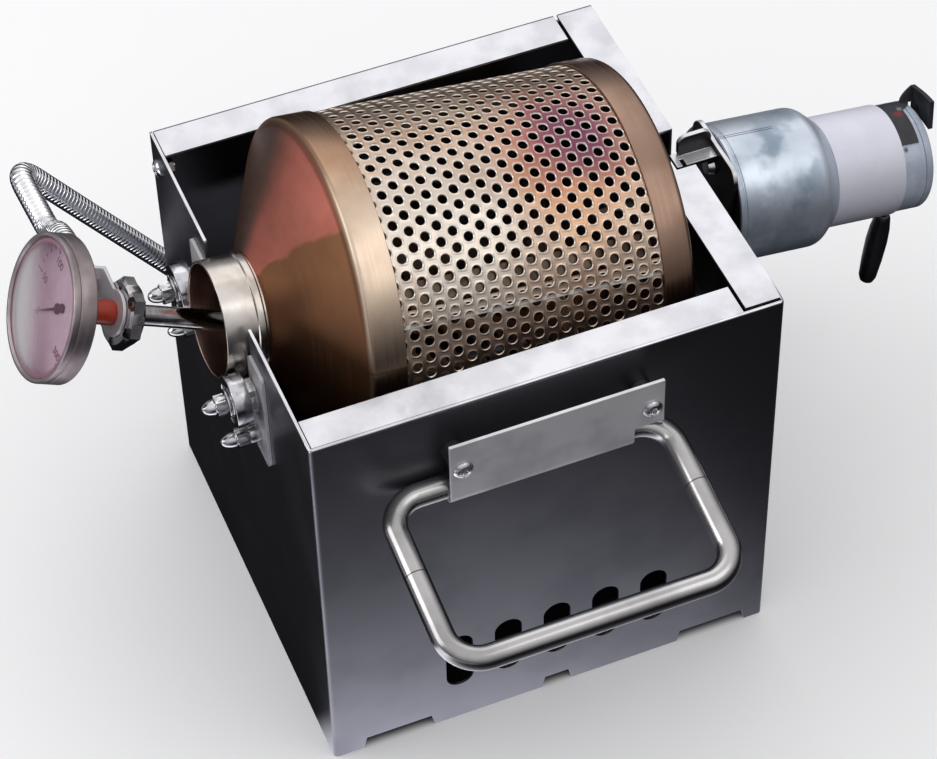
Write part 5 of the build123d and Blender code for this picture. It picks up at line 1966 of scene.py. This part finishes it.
@dataclass(frozen=True)
class DialThermometer:
    """Dial thermometer: case, glass, printed dial, needle, stem and nuts."""

    radius: float = 29.6
    bezel: float = 3.0
    depth: float = 11.0
    wall: float = 1.0
    lip: float = 2.6
    gap: float = 0.1
    glass: Span = (1.2, 2.7)
    dial: Span = (8.0, 8.6)
    hub_front: float = 11.0
    hub_rear: float = 8.0
    hub_end: float = 15.0
    cover: float = 5.0
    cover_end: float = 31.4
    nut_start: float = 33.1
    nut_end: float = 39.8
    nut_flats: float = 26.0
    bore: float = 4.35
    stem: float = 4.25
    stem_end: float = 134.6
    holder_edge: float = 0.25
    needle_length: float = 21.0
    needle_tail: float = 6.0
    needle_wall: float = 0.5
    needle_rise: float = 0.8
    needle_hub: float = 2.2
    needle_weight: float = 1.9
    needle_halves: Span = (0.75, 0.18)
    scale_start: float = 134.0
    scale_sweep: float = 270.0
    scale_top: int = 300
    scale_step: int = 50
    small_ticks: int = 30
    tick_starts: Span = (8.2, 6.2)
    tick_halves: Span = (0.45, 0.22)
    tick_end: float = 4.4
    number_size: float = 4.6
    number_in: float = 12.0
    ink: float = 0.12

    def scale_angle(self, share: Array | float) -> Array | float:
        """Angle from the dial's top of a share of the scale, which runs clockwise from low left."""
        return self.scale_start - self.scale_sweep * share

    def build_case(self) -> None:
        """Turns the case, bezel, glass, dial plate, cover and stem, and makes the nut and holder."""
        wide, rim, lip = self.radius, self.radius - self.wall, self.radius - self.lip
        front, floor = self.bezel + self.gap, self.depth - self.wall
        case = [
            (rim, front), (wide, front), (wide, floor), (wide - 2.0, self.depth),
            (self.hub_front, self.depth), (self.hub_rear, self.hub_end),
            (self.bore, self.hub_end), (self.bore, floor), (rim, floor),
        ]
        seat = self.glass[0] - self.gap
        bezel = [
            (lip, seat), (lip + 1.0, 0.0), (wide, 0.0),
            (wide, self.bezel), (rim, self.bezel), (rim, seat),
        ]
        edge = rim - self.gap
        root = self.depth + self.gap
        cover = bar(self.bore, self.cover, self.hub_end + self.gap, self.cover_end)
        stem = [
            (0.5, root), (self.stem, root), (self.stem, self.stem_end - 2.0), (2.0, self.stem_end),
            (0.3, self.stem_end),
        ]
        corners = (0.1, 0.2, 0.8, 0.8, 2.0, 1.0, 0.1, 0.1, 0.1)
        lathe(PROBE, Body.THERMOMETER, 128, (
            ("dial_housing", case, corners, DIAL_STEEL, "dial_case", True),
            ("dial_rim", bezel, (0.2, 0.4, 0.9, 0.2, 0.1, 0.1), DIAL_STEEL, "dial_bezel", True),
            ("dial_window", bar(0.4, edge, *self.glass), 0.1, DIAL_GLASS, "dial_glass", False),
            ("dial_card", bar(0.4, edge, *self.dial), 0.0, DIAL_FACE, "dial_plate", False),
            ("probe_jacket", cover, 0.25, COVER_ORANGE, "probe_cover", True),
            ("probe_rod", stem, (0, 0.2, 1.5, 1.0, 0), PROBE_STEEL, "probe_stem", False),
        ))
        nut = Shell()
        height = self.nut_end - self.nut_start
        hex_nut(nut, PROBE.moved(0.0, 0.0, self.nut_start), self.nut_flats, height, self.stem + 0.05)
        publish("probe_lock_nut", nut, PROBE_STEEL, Body.THERMOMETER, "probe_nut")
        reuse("probe_arm", "probe_holder", PLATE_STEEL, self.holder_edge, Body.THERMOMETER)

    def build_needle(self) -> None:
        """Makes the needle, a tapered blade with a round hub and a counterweight.

        Its half width falls from the tail to the tip, and widens to a circle at the hub and at the
        weight.
        """
        ends = (-self.needle_tail, self.needle_length)
        run = np.linspace(*ends, 61)
        hub = np.sqrt(np.clip(self.needle_hub**2 - run**2, 0, None))
        heavy = self.needle_weight
        weight = np.sqrt(np.clip(heavy**2 - (run + self.needle_tail - heavy) ** 2, 0, None))
        blade = np.interp(run, ends, self.needle_halves)
        half = np.maximum(np.maximum(hub, weight), blade)[:, None] * np.array([[-1.0, 1.0]])
        heading = np.radians(self.scale_angle(0.0))
        up, side, along = np.array(PROBE.out), np.array(BACK), np.array(PROBE.along)
        ahead = np.cos(heading) * up + np.sin(heading) * side
        beside = np.cos(heading) * side - np.sin(heading) * up
        flat = np.array(PROBE.origin) + run[:, None, None] * ahead + half[..., None] * beside
        front = self.dial[0] - self.needle_rise
        needle = Shell().slab(flat + along * front, flat + along * (front + self.needle_wall))
        publish("dial_pointer", needle, NEEDLE_BLACK, Body.NEEDLE, "dial_needle", sharp=40.0)

    def number(self, value: int, share: float) -> tuple[Array, Array]:
        """Makes one plain number of the dial.

        Args:
            value: The number.
            share: Its place on the scale.

        Returns:
            Its points on the dial, and its triangles.
        """
        text = bpy.data.curves.new("number", "FONT")
        text.body = str(value)
        text.size = self.number_size
        text.align_x = "CENTER"
        text.align_y = "CENTER"
        flat, triangles = melted(text)
        level = self.dial[0] - self.ink
        centre = PROBE.place(self.radius - self.number_in, self.scale_angle(share), level)
        return centre + flat[:, :1] * np.array(FRONT) + flat[:, 1:2] * np.array(PROBE.out), triangles

    def build_scale(self) -> None:
        """Prints the dial: a ring of ticks, longer at each number, and plain numbers."""
        shell = Shell()
        count = self.scale_top // self.scale_step
        share = np.arange(self.small_ticks + 1) / self.small_ticks
        long = np.isclose(share * count % 1, 0) | np.isclose(share * count % 1, 1)
        inner = self.radius - np.where(long, *self.tick_starts)
        half = np.where(long, *self.tick_halves)
        outer = np.full(len(share), self.radius - self.tick_end)
        radius = np.stack([inner, inner, outer, outer], axis=1)
        swing = np.degrees(np.stack([-half, half, half, -half], axis=1) / radius)
        angle = self.scale_angle(share)[:, None] + swing
        points = PROBE.place(radius, angle, self.dial[0] - self.ink)
        shell.add(points, np.arange(points[..., 0].size).reshape(-1, 4))
        for step in range(count + 1):
            shell.add(*self.number(step * self.scale_step, step / count))
        publish("dial_print", shell.mesh("dial_print", tidy=False), NEEDLE_BLACK, Body.THERMOMETER)

    def build(self) -> None:
        """Makes the thermometer's pieces."""
        self.build_case()
        self.build_needle()
        self.build_scale()


@dataclass(frozen=True)
class Gooseneck:
    """Stiff ribbed arm from its ledge behind the box to the thermometer's holder."""

    radius: float = 5.0
    groove: float = 0.3
    rib_pitch: float = 2.1
    points: int = 1400
    sides: int = 20
    route: tuple[Point, ...] = (
        (-76.0, 106.0, 56.1),
        (-76.0, 106.0, 80.0),
        (-90.0, 105.7, 99.5),
        (-138.0, 104.8, 166.5),
        (-157.0, 104.5, 193.4),
        (-154.5, 77.0, 189.0),
        (-153.5, 66.0, 187.5),
        (-152.24, 48.0, 204.31),
        (-152.24, 30.1, 204.31),
    )
    bend_start: Point = (-96.7, 105.6, 108.9)
    bend_end: Point = (-143.6, 104.7, 174.6)
    ferrule_edge: float = 0.6
    ledge_edge: float = 0.3

    def build(self) -> None:
        """Makes the arm and its ferrules.

        The arm's radius sinks where the cosine of 2 pi s / pitch + a is near 1, so a narrow groove
        winds up along the path's distance s and the angle a round it.
        """
        path = nurbs_line(self.route, self.points)
        turn = np.arange(self.sides) * 2 * np.pi / self.sides
        wave = 0.5 + 0.5 * np.cos(run_along(path)[:, None] * 2 * np.pi / self.rib_pitch + turn[None, :])
        radius = self.radius - self.groove * smoothstep(0.7, 0.98, wave)
        form = Shell().tube(path, radius, (0.8, 0.2, 0.56))
        arm = publish("ribbed_arm", form, GOOSE_CHROME, None, "gooseneck", sharp=80.0)
        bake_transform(arm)
        reuse("base_ferrule", "gooseneck_base", GOOSE_CHROME, self.ferrule_edge)
        reuse("tip_ferrule", "gooseneck_tip", GOOSE_CHROME, self.ferrule_edge, Body.THERMOMETER)
        reuse("arm_ledge", "gooseneck_bracket", PLATE_STEEL, self.ledge_edge)


def dress_remaining() -> None:
    """Gives every solid that no piece has replaced the finish of its kind."""
    for node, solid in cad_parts.items():
        if solid.hide_render:
            continue
        for slot in solid.material_slots:
            slot.material = NODE_FINISHES.get(node, FASTENER_STEEL).material()


# Camera, light and floor


@dataclass(frozen=True)
class PhotoCamera:
    """Camera at the photograph's angle, aimed at the middle of the box."""

    azimuth: float = -20.958
    elevation: float = 47.899
    roll: float = -1.658
    distance: float = 1382.68
    target_height: float = 99.19
    aside: float = 2.0
    above: float = -0.54
    lens: float = 124.42
    sensor: float = 36.0

    def build(self) -> None:
        """Places the camera and makes it the scene's."""
        turn, rise, tip = np.radians([self.azimuth, self.elevation, self.roll])
        back = np.array([np.sin(turn) * np.cos(rise), -np.cos(turn) * np.cos(rise), np.sin(rise)])
        level = np.array([np.cos(turn), np.sin(turn), 0.0])
        upright = np.cross(back, level)
        right = np.cos(tip) * level + np.sin(tip) * upright
        up = np.cos(tip) * upright - np.sin(tip) * level
        target = np.array([0, 0, self.target_height])
        eye = target + back * self.distance + right * self.aside + up * self.above
        turned_axes = Matrix(np.stack([right, up, back], axis=1).tolist()).to_4x4()
        data = bpy.data.cameras.new("photo_camera")
        data.lens = self.lens
        data.sensor_width = self.sensor
        data.sensor_fit = "HORIZONTAL"
        camera = bpy.data.objects.new("photo_camera", data)
        camera.matrix_world = Matrix.Translation((eye * MM).tolist()) @ turned_axes
        bpy.context.scene.collection.objects.link(camera)
        bpy.context.scene.camera = camera


@dataclass(frozen=True)
class Softbox:
    """A square of soft light that faces the roaster and isn't seen itself."""

    name: str
    place: Point
    size: float
    glow: float
    aim: Point = (0.0, 0.0, 0.12)

    def build(self) -> None:
        """Makes the light, with the power that gives its surface the wanted brightness."""
        data = bpy.data.lights.new(self.name, "AREA")
        data.shape = "SQUARE"
        data.size = self.size
        data.energy = self.glow * np.pi * self.size**2
        light = bpy.data.objects.new(self.name, data)
        eye = Vector(self.place)
        turn = (eye - Vector(self.aim)).to_track_quat("Z", "Y")
        light.matrix_world = Matrix.Translation(eye) @ turn.to_matrix().to_4x4()
        light.visible_camera = False
        bpy.context.scene.collection.objects.link(light)


@dataclass(frozen=True)
class Studio:
    """Pale floor, soft sky and softboxes; its lengths are metres."""

    floor_half: float = 4.0
    pale: Colour = (250, 250, 251)
    # Floor colour under the box, a painted shadow, and for every ray but the camera's, so the floor throws
    # little light back up.
    dark: Colour = (30, 30, 34)
    mirrored: Colour = (246, 246, 255)
    mirror_glow: float = 2.1
    mirror_fade: Span = (-0.2, 0.066)
    mirror_corner: Span = (-0.092, -0.103)
    front_foot: Step = (-0.094, -0.07, 1.0, 0.0)
    right_fade: Step = (0.04, 0.16, 1.0, 0.25)
    back_glow: Step = (0.1, 0.42, 0.3, 0.0)
    back_side: Span = (-0.06, 0.0)
    back_foot: Span = (0.09, 0.1)
    left_glow: Step = (-1.0, -0.35, 0.28, 0.0)
    under_edge: Step = (0.09, 0.097, 1.0, 0.0)
    floor_rough: float = 0.9
    horizon: Colour = (84, 85, 90)
    zenith: Colour = (255, 255, 255)
    sky_rise: Span = (-0.1, 0.95)
    softboxes: tuple[Softbox, ...] = (
        Softbox("back_softbox", (0.45, 1.0, 1.25), 1.1, 0.6),
        Softbox("front_softbox", (0.65, -0.68, 1.35), 0.8, 0.85),
        Softbox("left_softbox", (-1.3, 0.3, 0.85), 0.9, 2.2),
    )

    def shade_floor(self, skin: Skin) -> None:
        """Makes the floor pale to the eye and dark to other rays, with a glow on three sides for what mirrors
        it.

        The glow in front fades with e to the power of (X - corner) / fade, for X and Y together,
        away from the box's front left corner, and faster past its right side. The painted shadow
        under the box is the product of two smooth steps, of the distances from its middle.

        Args:
            skin: Nodes of the floor's material.
        """
        x, y, _ = skin.split(skin.here())
        (corner_x, corner_y), (fade_x, fade_y) = self.mirror_corner, self.mirror_fade
        away = (x - corner_x) / fade_x + (y - corner_y) / fade_y
        ahead = skin.math("MINIMUM", skin.math("POWER", np.e, away), 1.0)
        ahead = ahead * y.ease(*self.front_foot) * x.ease(*self.right_fade)
        behind = y.ease(*self.back_glow) * x.ease(*self.back_side) * y.ease(*self.back_foot)
        glow = ahead + (behind + x.ease(*self.left_glow))
        ray = skin.add("ShaderNodeLightPath")
        shine = glow * skin.wire(ray, "Is Glossy Ray")
        # Painted shadow: the floor under the box is dark to the camera too.
        under = abs(x).ease(*self.under_edge) * abs(y).ease(*self.under_edge)
        seen = skin.wire(ray, "Is Camera Ray") * skin.math("SUBTRACT", 1.0, under)
        skin.paint(
            Base_Color=skin.blend(seen, self.dark, self.pale),
            Roughness=self.floor_rough,
            Specular_IOR_Level=0.0,
            Emission_Color=skin.blend(shine, (0, 0, 0), self.mirrored),
            Emission_Strength=self.mirror_glow,
        )

    def build_floor(self) -> None:
        """Makes the floor's sheet and its material."""
        half = self.floor_half
        mesh = bpy.data.meshes.new("floor")
        corners = [(-half, -half, 0), (half, -half, 0), (half, half, 0), (-half, half, 0)]
        mesh.from_pydata(corners, [], [(0, 1, 2, 3)])
        material = bpy.data.materials.new("floor_paper")
        material.use_nodes = True
        self.shade_floor(Skin(material.node_tree))
        mesh.materials.append(material)
        floor = bpy.data.objects.new("floor", mesh)
        bpy.context.scene.collection.objects.link(floor)

    def build_sky(self) -> None:
        """Makes a sky that brightens upwards."""
        world = bpy.data.worlds.new("studio")
        world.use_nodes = True
        bpy.context.scene.world = world
        graph = Graph(world.node_tree)
        height = graph.split(graph.here("Generated"))[2]
        dome = graph.blend(height.ease(*self.sky_rise), self.horizon, self.zenith)
        graph.put(world.node_tree.nodes["Background"].inputs["Color"], dome)

    def build(self) -> None:
        """Makes the floor, the sky and the lights."""
        self.build_floor()
        self.build_sky()
        for softbox in self.softboxes:
            softbox.build()
        bpy.context.scene.view_settings.view_transform = "Standard"


def main() -> None:
    """Builds the scene: camera and lead first, then each sub-assembly."""
    logging.basicConfig(level=logging.INFO, format="%(name)s %(message)s")
    PhotoCamera().build()
    motor = GearMotor()
    motor.build_lead()
    for assembly in (
        motor,
        SheetBox(),
        FoldingHandle(),
        MouthRollers(),
        PerforatedWall(),
        DrumEnds(),
        DialThermometer(),
        Gooseneck(),
    ):
        assembly.build()
    dress_remaining()
    Studio().build()


if __name__ == "__main__":
    main()
